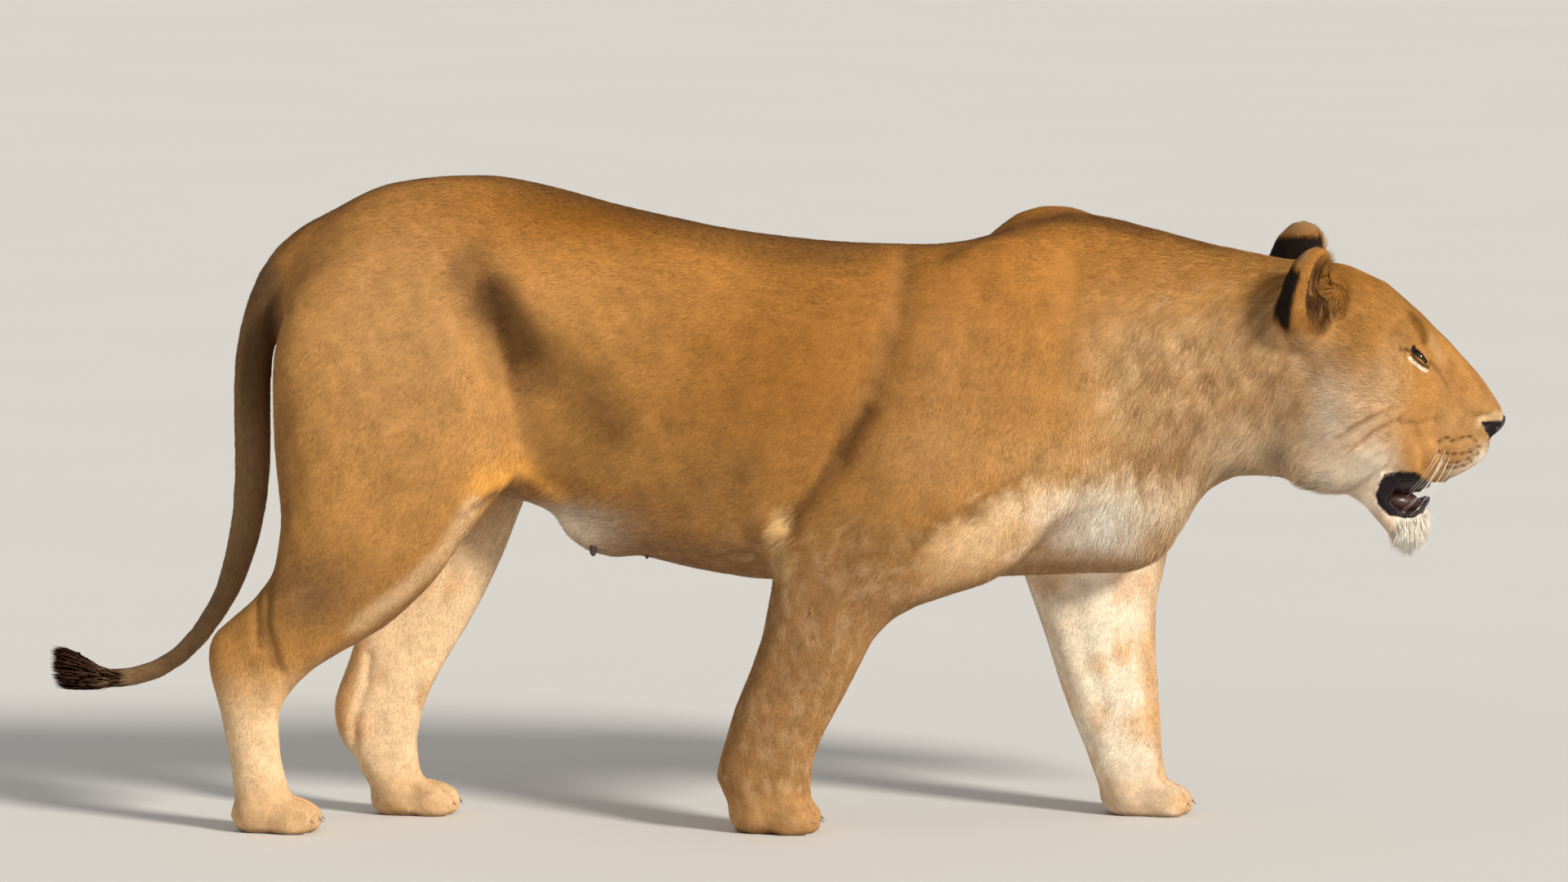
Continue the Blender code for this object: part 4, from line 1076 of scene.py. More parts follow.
@dataclass
class Skin:
    """The one skin that stands for every node of flesh. Sizes are in metres."""

    lie: Lie
    markings: Markings
    voxel: float = 0.0037
    swell: float = 0.0004
    tip_start: float = -0.99
    smooth_rounds: int = 60
    smooth_share: float = 0.55
    plain_triangles: int = 62000
    toe_groove: float = 0.0060
    toe_groove_width: float = 0.0042
    lip_roll: float = 0.0022
    lip_width: float = 0.0045
    slit_width: float = 0.0022
    nose_sink: float = 0.0014
    slit_depth: float = 0.0035
    bare: tuple[str, ...] = ("left_eye", "right_eye", "nose", "tongue")

    def __post_init__(self) -> None:
        """Lists the nodes of flesh."""
        self.flesh = [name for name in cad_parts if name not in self.bare]

    def build(self) -> bpy.types.Object:
        """Makes the skin and dresses it.

        Returns:
            The finished object.
        """
        mesh = self._one_mesh()
        self._smooth(mesh)
        self._sink(mesh)
        self._press(mesh, BODY_STROKES, False)
        mesh = self._thin(mesh)
        self._refine(mesh)
        self._press(mesh, HEAD_STROKES, True)
        self._swell(mesh)
        self._profile(mesh)
        self._toes(mesh)
        self._lids(mesh)
        self._lips(mesh)
        self._nostrils(mesh)
        mesh.shade_smooth()
        obj = new_object("skin", mesh)
        self._colour(obj)
        obj.data.materials.append(SkinFinish().material())
        finished(obj, "coat", *self.flesh)
        return obj

    def _one_mesh(self) -> bpy.types.Mesh:
        """The flesh, eyes and nose as one closed mesh without seams."""
        whole = bmesh.new()
        for name in [*self.flesh, "left_eye", "right_eye", "nose"]:
            part = bmesh.new()
            part.from_mesh(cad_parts[name].data)
            bmesh.ops.remove_doubles(part, verts=part.verts, dist=1e-5)
            part.normal_update()
            for vert in part.verts:
                vert.co += vert.normal * self.swell
            copy = poured(part, name)
            whole.from_mesh(copy)
            bpy.data.meshes.remove(copy)
        obj = new_object("flesh", poured(whole, "flesh"))
        remesh = obj.modifiers.new("one skin", "REMESH")
        remesh.mode = "VOXEL"
        remesh.voxel_size = self.voxel
        return evaluated(obj)

    def _smooth(self, mesh: bpy.types.Mesh) -> None:
        """Takes the facets out, less where the form is fine."""
        points = read(mesh)
        tail, upright = TAIL.share(points), HEAD.upright(points)
        head = soft(points[:, 0], 0.76, 0.84)
        ear = np.zeros(len(points))
        for shape in EARS:
            near = soft(np.linalg.norm(shape.local(upright), axis=1), 1.5, 1.2)
            ear = np.maximum(ear, near * soft(upright[:, 1] * shape.side, 0.02, 0.045))
        paw = soft(points[:, 2], 0.12, 0.07)
        leg = soft(points[:, 2], 0.46, 0.34)
        keep = np.maximum.reduce([0.90 * head, 0.90 * ear, 0.94 * paw, 0.55 * leg, 0.75 * tail])
        points = relaxed(mesh, points, self.smooth_rounds, self.smooth_share * (1 - keep))
        tip = self.tip_start
        points[:, 0] = np.where(points[:, 0] < tip, tip + 0.25 * (points[:, 0] - tip), points[:, 0])
        write(mesh, points)

    def _sink(self, mesh: bpy.types.Mesh) -> None:
        """Moves the skin in by the depth of the coat."""
        points, normals = read(mesh), normals_of(mesh)
        depth = self.lie.depth(points, normals)
        floor = soft(points[:, 2], 0.004, 0.016)
        write(mesh, points - normals * (depth * floor)[:, None])
        points = read(mesh)
        write(mesh, relaxed(mesh, points, 3, np.full(len(points), 0.5)))

    @staticmethod
    def _press(mesh: bpy.types.Mesh, strokes: Sequence[Stroke], on_head: bool) -> None:
        """Presses creases and raises ridges.

        Args:
            mesh: What is pressed, changed in place.
            strokes: The creases and ridges.
            on_head: Whether their lines are in the head's frame.
        """
        points, normals = read(mesh), normals_of(mesh)
        place = HEAD.upright(points) if on_head else points
        sideways = place[:, 1]
        facing = np.sign(sideways) * normals[:, 1]
        move = np.zeros(len(points))
        for stroke in strokes:
            line = np.array(stroke.line)
            gap = line_distance(place[:, ::2], line)
            share = bell(gap, stroke.reach)
            if stroke.side:
                share = share * soft(sideways * stroke.side, 0.0, 0.03)
            if stroke.outer:
                share = share * soft(facing, 0.0, 0.45)
            if on_head:
                share = share * soft(np.abs(sideways), 0.012, 0.030)
            move += stroke.height * share
        write(mesh, points + normals * move[:, None])

    def _thin(self, mesh: bpy.types.Mesh) -> bpy.types.Mesh:
        """Thins the mesh of the trunk and legs, and keeps the head, ears and paws fine."""
        points = read(mesh)
        upright = HEAD.upright(points)
        fine = (points[:, 0] > 0.765) | (points[:, 2] < 0.085)
        for ear in EARS:
            fine |= np.linalg.norm(ear.local(upright), axis=1) < 1.4
        obj = new_object("thinned", mesh)
        group = obj.vertex_groups.new(name="plain")
        group.add([int(i) for i in np.flatnonzero(~fine)], 1.0, "REPLACE")
        total = 2 * len(mesh.polygons)
        kept = 2 * int(fine.sum())
        thin = obj.modifiers.new("thin", "DECIMATE")
        thin.ratio = min(1.0, (kept + self.plain_triangles) / total)
        thin.vertex_group = "plain"
        return evaluated(obj)

    @staticmethod
    def _refine(mesh: bpy.types.Mesh) -> None:
        """Cuts the faces round the eyes, lips and nostrils finer."""
        for reach in (1.0, 0.72):
            bm = bmesh.new()
            bm.from_mesh(mesh)
            bm.normal_update()
            points = np.array([v.co for v in bm.verts])
            upright, outward = HEAD.pair(points, np.array([v.normal for v in bm.verts]))
            eye = np.linalg.norm(HEAD.folded(upright) - np.array(EYE.centre), axis=1) < 0.040 * reach
            lips = (lip_share(upright, outward) > 0.05) | (nose_share(upright) > 0.05)
            fine = eye | (lips & (reach == 1.0))
            edges = [e for e in bm.edges if fine[e.verts[0].index] and fine[e.verts[1].index]]
            bmesh.ops.subdivide_edges(bm, edges=edges, cuts=1, use_grid_fill=True)
            bm.to_mesh(mesh)
            bm.free()
        points, normals = read(mesh), normals_of(mesh)
        upright, outward = HEAD.pair(points, normals)
        lips = lip_share(upright, outward)
        near = soft(np.linalg.norm(HEAD.folded(upright) - np.array(EYE.centre), axis=1), 0.050, 0.035)
        write(mesh, relaxed(mesh, points, 8, 0.5 * np.maximum(near, 0.6 * lips)))

    @staticmethod
    def _swell(mesh: bpy.types.Mesh) -> None:
        """Raises the brows, cheekbones and whisker pads and hollows what lies between them."""
        points, normals = read(mesh), normals_of(mesh)
        both = HEAD.folded(HEAD.upright(points))
        move = np.zeros(len(points))
        for swell in HEAD_SWELLS:
            away = (both - np.array(swell.centre)) / np.array(swell.radii)
            move += swell.height * np.exp(-(away**2).sum(1))
        write(mesh, points + normals * (move * (points[:, 0] > 0.8))[:, None])

    @staticmethod
    def _profile(mesh: bpy.types.Mesh) -> None:
        """Draws the end of the muzzle back to its slanting outline and narrows it at the nose."""
        h = HEAD.upright(read(mesh))
        near = (h[:, 0] > 0.94) & (h[:, 2] > 0.484) & (h[:, 2] < 0.592)
        front = np.interp(h[:, 2], *np.array(MUZZLE_PROFILE).T) - 5.0 * h[:, 1] ** 2 - 0.0012
        drawn = h.copy()
        drawn[:, 0] = np.where(near, np.minimum(h[:, 0], front), h[:, 0])
        widest = np.interp(drawn[:, 0], *np.array(MUZZLE_WIDTH).T)
        widest = widest + 0.030 * soft(h[:, 2], 0.552, 0.530)
        aside = np.minimum(np.abs(drawn[:, 1]), widest)
        drawn[:, 1] = np.where(near, np.sign(drawn[:, 1]) * aside, drawn[:, 1])
        moved = HEAD.leaning(drawn)
        share = np.where(h[:, 0] > 0.955, 0.4, 0.0) * soft(h[:, 2], 0.485, 0.500)
        write(mesh, relaxed(mesh, moved, 5, share))

    def _toes(self, mesh: bpy.types.Mesh) -> None:
        """Parts the toes of each foot."""
        points, normals = read(mesh), normals_of(mesh)
        move = np.zeros(len(points))
        for paw in PAWS:
            own = paw.local(points)
            near = (np.abs(own[:, 0]) < 0.16) & (np.abs(own[:, 1]) < 0.08) & (own[:, 2] < 0.11)
            for k in (-1, 0, 1):
                middle = paw.toe_width * k * (1 + 2.2 * np.clip(own[:, 0], 0, 0.09))
                groove = bell(own[:, 1] - middle, self.toe_groove_width)
                groove = groove * soft(own[:, 0], 0.012, 0.055) * soft(own[:, 2], 0.074, 0.048)
                move -= near * self.toe_groove * groove
        write(mesh, points + normals * move[:, None])

    @staticmethod
    def _lids(mesh: bpy.types.Mesh) -> None:
        """Draws the lids over each eye and opens a slit between them."""
        points = read(mesh)
        for side in (-1, 1):
            centre, out, along, up = EYE.axes(side)
            away = points - centre
            a, b, h = away @ along, away @ up, away @ out
            far = np.linalg.norm(away, axis=1)
            ring = np.hypot(a, b)
            front = (h > 0) & (ring < EYE.socket)
            lid = EYE.radius + EYE.lid
            share = np.where(front, soft(ring, 0.0235, 0.0140), 0)
            goal = far + share * (lid - far)
            least = np.maximum(goal, EYE.radius + EYE.clearance)
            goal = np.where(front & (ring < EYE.lid_edge), least, goal)
            bend = EYE.bend * (1 - (a / EYE.half_length) ** 2)
            opening = EYE.half_height * np.sqrt(np.clip(1 - (a / EYE.half_length) ** 2, 0, 1))
            edge = np.abs(b - bend) - opening
            rolled = EYE.rim * bell(edge - EYE.rim_start, EYE.rim_width)
            rolled = rolled * soft(np.abs(a), 0.021, 0.015)
            goal = goal + np.where(front, rolled, 0)
            within = soft(np.abs(a), 0.020, 0.010)
            crease = bell(b - bend - EYE.upper_crease, EYE.crease_width) * within
            crease += 0.6 * bell(b - bend + EYE.lower_crease, EYE.crease_width) * within
            goal = goal - np.where(front, EYE.crease_depth * crease, 0)
            inside = soft(edge, 0.0004, -0.0006) * (np.abs(a) < EYE.half_length)
            goal = np.where(front, goal + inside * (EYE.radius - EYE.slit_depth - goal), goal)
            points = centre + away * (goal / np.maximum(far, 1e-6))[:, None]
        write(mesh, points)

    def _lips(self, mesh: bpy.types.Mesh) -> None:
        """Rolls the edge of the lower lip."""
        points, normals = read(mesh), normals_of(mesh)
        h = HEAD.upright(points)
        gap = line_distance(h[:, ::2], np.array(LOWER_LIP))
        outer = soft(np.abs(h[:, 1]), 0.018, 0.030)
        roll = self.lip_roll * bell(gap, self.lip_width) * outer
        write(mesh, points + normals * roll[:, None])

    def _nostrils(self, mesh: bpy.types.Mesh) -> None:
        """Sinks the bare skin beside the nose and cuts the slit behind each nostril."""
        points, normals = read(mesh), normals_of(mesh)
        h = HEAD.upright(points)
        slit = bell(line_distance(h[:, ::2], np.array(NOSTRIL_SLIT)), self.slit_width)
        slit = slit * soft(np.abs(h[:, 1]), 0.010, 0.018)
        depth = nose_share(h) * (self.nose_sink + self.slit_depth * slit)
        write(mesh, points - normals * depth[:, None])

    def _colour(self, obj: bpy.types.Object) -> None:
        """Writes the colour and the wetness of the skin."""
        mesh = obj.data
        points, normals = read(mesh), normals_of(mesh)
        colours = self.markings.colours(points, normals) * 0.97
        upright, outward = HEAD.pair(points, normals)
        wet = lip_share(upright, outward)
        wet = np.maximum(wet, 0.55 * nose_share(upright)) * soft(points[:, 0], 0.80, 0.84)
        for side in (-1, 1):
            rim = EYE.rim_share(points, side, 0.0056, 0.0034)
            colours += rim[:, None] * (np.array(SOOT) - colours)
            wet = np.maximum(wet, 0.6 * rim)
        set_colour(mesh, "hue", colours)
        set_value(mesh, "wet", wet)


# Meshes


def new_object(name: str, mesh: bpy.types.Mesh) -> bpy.types.Object:
    """Puts a mesh in the scene as an object at the origin."""
    obj = bpy.data.objects.new(name, mesh)
    mesh.name = name
    bpy.context.scene.collection.objects.link(obj)
    return obj


def ball(name: str, columns: int, rows: int, radius: float = 1.0) -> bpy.types.Mesh:
    """A ball at the origin, with its poles up and down.

    Args:
        name: What the mesh is called.
        columns: How many faces go round it.
        rows: How many faces go from pole to pole.
        radius: Its radius.

    Returns:
        The mesh.
    """
    bm = bmesh.new()
    bmesh.ops.create_uvsphere(bm, u_segments=columns, v_segments=rows, radius=radius)
    return poured(bm, name)


def poured(bm: bmesh.types.BMesh, name: str) -> bpy.types.Mesh:
    """What has been built, as a mesh of the given name."""
    mesh = bpy.data.meshes.new(name)
    bm.to_mesh(mesh)
    bm.free()
    return mesh


def finished(obj: bpy.types.Object, slot: str, *nodes: str) -> None:
    """Hands a piece over: the body it rides and the nodes it stands for.

    Args:
        obj: The dressed piece.
        slot: A slot of the record, or an empty string. It is not used.
        nodes: The names of the nodes.
    """
    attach(obj, BODY)
    if nodes:
        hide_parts(*nodes)
    LOG.info("%s: %d faces", obj.name, len(obj.data.polygons))


def evaluated(obj: bpy.types.Object) -> bpy.types.Mesh:
    """What an object's modifiers make of its mesh. The object itself is removed.

    Args:
        obj: An object with modifiers.

    Returns:
        A plain mesh.
    """
    bpy.context.view_layer.update()
    graph = bpy.context.evaluated_depsgraph_get()
    mesh = bpy.data.meshes.new_from_object(obj.evaluated_get(graph), depsgraph=graph)
    old = obj.data
    bpy.data.objects.remove(obj)
    bpy.data.meshes.remove(old)
    return mesh


def read(mesh: bpy.types.Mesh) -> Array:
    """The points of a mesh, one in each row."""
    flat = np.empty(3 * len(mesh.vertices), np.float32)
    mesh.vertices.foreach_get("co", flat)
    return flat.reshape(-1, 3).astype(float)


def write(mesh: bpy.types.Mesh, points: Array) -> None:
    """Moves the points of a mesh."""
    mesh.vertices.foreach_set("co", points.astype(np.float32).ravel())
    mesh.update()


def normals_of(mesh: bpy.types.Mesh) -> Array:
    """The way out of the mesh at each point."""
    flat = np.empty(3 * len(mesh.vertices), np.float32)
    mesh.vertex_normals.foreach_get("vector", flat)
    return flat.reshape(-1, 3).astype(float)


def relaxed(mesh: bpy.types.Mesh, points: Array, rounds: int, share: Array) -> Array:
    """Points drawn towards their neighbours.

    Args:
        mesh: The mesh whose edges say who the neighbours are.
        points: Where its points are.
        rounds: How many times they move.
        share: How far each moves, from 0 to 1.

    Returns:
        Where the points are then.
    """
    ends = np.empty(2 * len(mesh.edges), np.int32)
    mesh.edges.foreach_get("vertices", ends)
    a, b = ends.reshape(-1, 2).T
    count = np.bincount(a, minlength=len(points)) + np.bincount(b, minlength=len(points))
    count = np.maximum(count, 1)
    moved = points.copy()
    for _ in range(rounds):
        for axis in range(3):
            row = moved[:, axis]
            total = np.bincount(a, weights=row[b], minlength=len(row))
            total += np.bincount(b, weights=row[a], minlength=len(row))
            moved[:, axis] = row + share * (total / count - row)
    return moved


def set_colour(mesh: bpy.types.Mesh, name: str, colours: Array) -> None:
    """Writes a colour on each point."""
    attribute = mesh.attributes.new(name, "FLOAT_COLOR", "POINT")
    filled = np.ones((len(colours), 4), np.float32)
    filled[:, :3] = colours
    attribute.data.foreach_set("color", filled.ravel())


def set_value(mesh: bpy.types.Mesh, name: str, values: Array) -> None:
    """Writes a number on each point."""
    attribute = mesh.attributes.new(name, "FLOAT", "POINT")
    attribute.data.foreach_set("value", values.astype(np.float32))


# Finishes


class Graph:
    """A short way to write shader nodes."""

    def __init__(self, tree: bpy.types.NodeTree) -> None:
        """Keeps the tree that nodes are added to."""
        self.tree = tree

    def node(self, kind: str, **settings: object) -> bpy.types.Node:
        """Adds a node and sets its settings."""
        made = self.tree.nodes.new(kind)
        for name, value in settings.items():
            setattr(made, name, value)
        return made

    def feed(self, node: bpy.types.Node, **inputs: object) -> bpy.types.Node:
        """Links sockets or sets values on a node's inputs, by name with _ for a space."""
        for name, value in inputs.items():
            socket = node.inputs[name.replace("_", " ")]
            if isinstance(value, bpy.types.NodeSocket):
                self.tree.links.new(value, socket)
            else:
                socket.default_value = value
        return node

    def maths(
        self, operation: str, first: object, second: object = 0.0, third: object = 0.0
    ) -> bpy.types.NodeSocket:
        """One step of arithmetic.

        Args:
            operation: Blender's name for it.
            first: A socket or a number.
            second: A socket or a number.
            third: A socket or a number.

        Returns:
            The socket that holds the result.
        """
        made = self.node("ShaderNodeMath", operation=operation)
        for socket, value in zip(made.inputs, (first, second, third)):
            if isinstance(value, bpy.types.NodeSocket):
                self.tree.links.new(value, socket)
            else:
                socket.default_value = value
        return made.outputs[0]

    def place(self) -> bpy.types.NodeSocket:
        """Coordinates in metres, fixed to the piece."""
        return self.node("ShaderNodeTexCoord").outputs["Object"]

    def written(self, name: str, output: str) -> bpy.types.NodeSocket:
        """What is written on the points of the mesh under a name."""
        return self.node("ShaderNodeAttribute", attribute_name=name).outputs[output]

    def blend(self, share: bpy.types.NodeSocket, first: Rgb, second: Rgb) -> bpy.types.NodeSocket:
        """A colour between two others.

        Args:
            share: How much of the second colour it holds.
            first: The colour at 0.
            second: The colour at 1.

        Returns:
            The socket that holds the colour.
        """
        mix = self.node("ShaderNodeMix", data_type="RGBA")
        self.tree.links.new(share, mix.inputs["Factor"])
        for at, colour in ((6, first), (7, second)):
            mix.inputs[at].default_value = (*colour, 1)
        return mix.outputs[2]

    def noise(
        self, place: bpy.types.NodeSocket, size: float, stretch: Point = (1, 1, 1), detail: float = 2.0
    ) -> bpy.types.NodeSocket:
        """Noise of a given size in metres, stretched along the axes.

        Args:
            place: Coordinates in metres.
            size: The usual width of a blotch.
            stretch: How much longer it is along each axis.
            detail: How many finer noises it holds.

        Returns:
            The noise, about 0.5.
        """
        scaled = self.node("ShaderNodeMapping")
        scaled.inputs["Scale"].default_value = [1 / (size * s) for s in stretch]
        self.tree.links.new(place, scaled.inputs["Vector"])
        made = self.node("ShaderNodeTexNoise")
        made.inputs["Scale"].default_value = 1.0
        made.inputs["Detail"].default_value = detail
        self.tree.links.new(scaled.outputs[0], made.inputs["Vector"])
        return made.outputs["Fac"]


def hair_grain() -> bpy.types.NodeTree:
    """The group that breaks a coat's colour into strands, built once.

    Returns:
        The node group, with inputs Colour and Strength and outputs Colour and Height.
    """
    found = bpy.data.node_groups.get("hair grain")
    if found:
        return found
    group = bpy.data.node_groups.new("hair grain", "ShaderNodeTree")
    face = group.interface
    face.new_socket("Colour", in_out="INPUT", socket_type="NodeSocketColor")
    strength = face.new_socket("Strength", in_out="INPUT", socket_type="NodeSocketFloat")
    strength.default_value = 0.3
    face.new_socket("Colour", in_out="OUTPUT", socket_type="NodeSocketColor")
    face.new_socket("Height", in_out="OUTPUT", socket_type="NodeSocketFloat")
    g = Graph(group)
    inside, outside = g.node("NodeGroupInput"), g.node("NodeGroupOutput")
    place, strand, clump = g.place(), 0.0016, 0.011
    along = g.noise(place, strand, (5.0, 1.0, 1.0))
    down = g.noise(place, strand, (1.0, 1.0, 5.0))
    clumps = g.noise(place, clump, (2.5, 1.0, 1.2))
    strands = g.maths("MINIMUM", along, down)
    both = g.maths("MULTIPLY_ADD", clumps, 0.6, strands)
    centred = g.maths("SUBTRACT", both, 0.74)
    scaled = g.maths("MULTIPLY", centred, inside.outputs["Strength"])
    gain = g.maths("MULTIPLY_ADD", scaled, 2.4, 1.0)
    mixed = g.node("ShaderNodeVectorMath", operation="SCALE")
    group.links.new(inside.outputs["Colour"], mixed.inputs[0])
    group.links.new(gain, mixed.inputs["Scale"])
    group.links.new(mixed.outputs[0], outside.inputs["Colour"])
    group.links.new(strands, outside.inputs["Height"])
    return group


def principled(name: str, **constants: object) -> tuple[bpy.types.Material, Graph, bpy.types.Node]:
    """A new material with a Principled shader.

    Args:
        name: What the material is called.
        constants: Values set on the shader's own sockets, with _ for a space.

    Returns:
        The material, its graph and the shader.
    """
    material = bpy.data.materials.new(name)
    material.use_nodes = True
    graph = Graph(material.node_tree)
    shader = material.node_tree.nodes["Principled BSDF"]
    graph.feed(shader, **constants)
    return material, graph, shader


@dataclass(frozen=True)
class SkinFinish:
    """The short flat fur of the skin: a grain of strands over the markings."""

    grain: float = 0.26
    dry: float = 0.80
    wet: float = 0.22
    relief: float = 0.0009

    def material(self) -> bpy.types.Material:
        """Builds the material."""
        material, g, shader = principled("short_fur", Specular_IOR_Level=0.14)
        hue, wet = g.written("hue", "Color"), g.written("wet", "Fac")
        grain = g.node("ShaderNodeGroup", node_tree=hair_grain())
        g.feed(grain, Colour=hue, Strength=self.grain)
        dryness = g.maths("SUBTRACT", 1.0, wet)
        rough = g.maths("MULTIPLY_ADD", dryness, self.dry - self.wet, self.wet)
        height = g.maths("MULTIPLY", grain.outputs["Height"], dryness)
        bump = g.feed(g.node("ShaderNodeBump"), Height=height, Distance=self.relief, Strength=0.8)
        g.feed(shader, Base_Color=grain.outputs["Colour"], Roughness=rough, Normal=bump.outputs[0])
        return material


@dataclass(frozen=True)
class TuftFinish:
    """Hair that stands clear of the skin."""

    name: str = "coat_hair"
    grain: float = 0.16
    roughness: float = 0.66

    def material(self) -> bpy.types.Material:
        """Builds the material, or returns it if it is built."""
        found = bpy.data.materials.get(self.name)
        if found:
            return found
        material, g, shader = principled(self.name, Specular_IOR_Level=0.10)
        grain = g.node("ShaderNodeGroup", node_tree=hair_grain())
        g.feed(grain, Colour=g.written("hue", "Color"), Strength=self.grain)
        rough = g.maths("MULTIPLY_ADD", grain.outputs["Height"], 0.25, self.roughness - 0.10)
        g.feed(shader, Base_Color=grain.outputs["Colour"], Roughness=rough)
        return material


@dataclass(frozen=True)
class EyeFinish:
    """An amber eye with a round pupil, read from how far a point is from the middle of the eye."""

    pupil: Rgb = (0.004, 0.003, 0.003)
    iris: Rgb = (0.150, 0.075, 0.020)
    ring: Rgb = (0.03, 0.014, 0.006)
    white: Rgb = (0.05, 0.025, 0.018)

    def material(self) -> bpy.types.Material:
        """Builds the material."""
        material, g, shader = principled("eye", Roughness=0.06, Coat_Weight=0.6, Coat_Roughness=0.03)
        fibres = g.noise(g.place(), 0.0010, (1, 1, 1), 4.0)
        shifted = g.maths("MULTIPLY_ADD", g.maths("SUBTRACT", fibres, 0.5), 0.05, g.written("polar", "Fac"))
        ramp = g.node("ShaderNodeValToRGB")
        stops = ((0.0, self.pupil), (0.20, self.pupil), (0.24, self.iris), (0.46, self.iris))
        stops += ((0.52, self.ring), (0.56, self.white))
        while len(ramp.color_ramp.elements) < len(stops):
            ramp.color_ramp.elements.new(0.5)
        for element, (at, colour) in zip(ramp.color_ramp.elements, stops):
            element.position = at
            element.color = (*colour, 1)
        g.feed(ramp, Fac=shifted)
        g.feed(shader, Base_Color=ramp.outputs["Color"])
        return material


@dataclass(frozen=True)
class MoistFinish:
    """Bare moist skin with a fine leathery grain, for nose, tongue and teats."""

    name: str
    colour: Rgb
    pale: Rgb
    roughness: float
    pebble: float
    relief: float

    def material(self) -> bpy.types.Material:
        """Builds the material."""
        material, g, shader = principled(self.name, Coat_Weight=0.15, Coat_Roughness=0.2)
        place = g.place()
        blotch = g.noise(place, self.pebble * 6)
        hue = g.blend(g.maths("MULTIPLY_ADD", blotch, 2.2, -0.75), self.colour, self.pale)
        cells = g.node("ShaderNodeTexVoronoi", feature="SMOOTH_F1")
        height = g.feed(cells, Scale=1 / self.pebble, Vector=place).outputs["Distance"]
        bump = g.feed(g.node("ShaderNodeBump"), Height=height, Distance=self.relief, Strength=0.7)
        rough = g.maths("MULTIPLY_ADD", blotch, 0.2, self.roughness - 0.1)
        g.feed(shader, Base_Color=hue, Roughness=rough, Normal=bump.outputs[0])
        return material


@dataclass(frozen=True)
class HornFinish:
    """Claw horn or whisker: streaked along its length."""

    name: str
    colour: Rgb
    pale: Rgb
    roughness: float

    def material(self) -> bpy.types.Material:
        """Builds the material."""
        material, g, shader = principled(self.name, Coat_Weight=0.1)
        streak = g.noise(g.place(), 0.003, (2, 1, 1), 3.0)
        rough = g.maths("MULTIPLY_ADD", streak, 0.2, self.roughness - 0.1)
        g.feed(shader, Base_Color=g.blend(streak, self.colour, self.pale), Roughness=rough)
        return material


# The coat


class Zone(Enum):
    """The pieces that the coat is divided into."""

    FACE = "coat_face"
    HEAD = "coat_head"
    EARS = "coat_ears"
    NECK = "coat_neck"
    THROAT = "coat_throat"
    SHOULDER = "coat_shoulders"
    RIBS = "coat_ribs"
    FLANK = "coat_flanks"
    RUMP = "coat_rump"
    FORELEGS = "coat_forelegs"
    HINDLEGS = "coat_hindlegs"
    TAIL = "coat_tail"
    TUFT = "coat_tail_tuft"


@dataclass(frozen=True)
class Growth:
    """How thickly a zone is grown: tufts for each square metre, and how wide they are."""

    zone: Zone
    density: float
    width: float
    slot: str = "coat"


GROWTHS = (
    Growth(Zone.FACE, 300000, 0.0009),
    Growth(Zone.HEAD, 215000, 0.0010),
    Growth(Zone.EARS, 240000, 0.0010, "ear"),
    Growth(Zone.NECK, 150000, 0.0011),
    Growth(Zone.THROAT, 180000, 0.0010),
    Growth(Zone.SHOULDER, 120000, 0.0011),
    Growth(Zone.RIBS, 115000, 0.0011),
    Growth(Zone.FLANK, 115000, 0.0011),
    Growth(Zone.RUMP, 106000, 0.0011),
    Growth(Zone.FORELEGS, 112000, 0.0010),
    Growth(Zone.HINDLEGS, 108000, 0.0010),
    Growth(Zone.TAIL, 130000, 0.0011),
    Growth(Zone.TUFT, 420000, 0.0014, "tuft"),
)


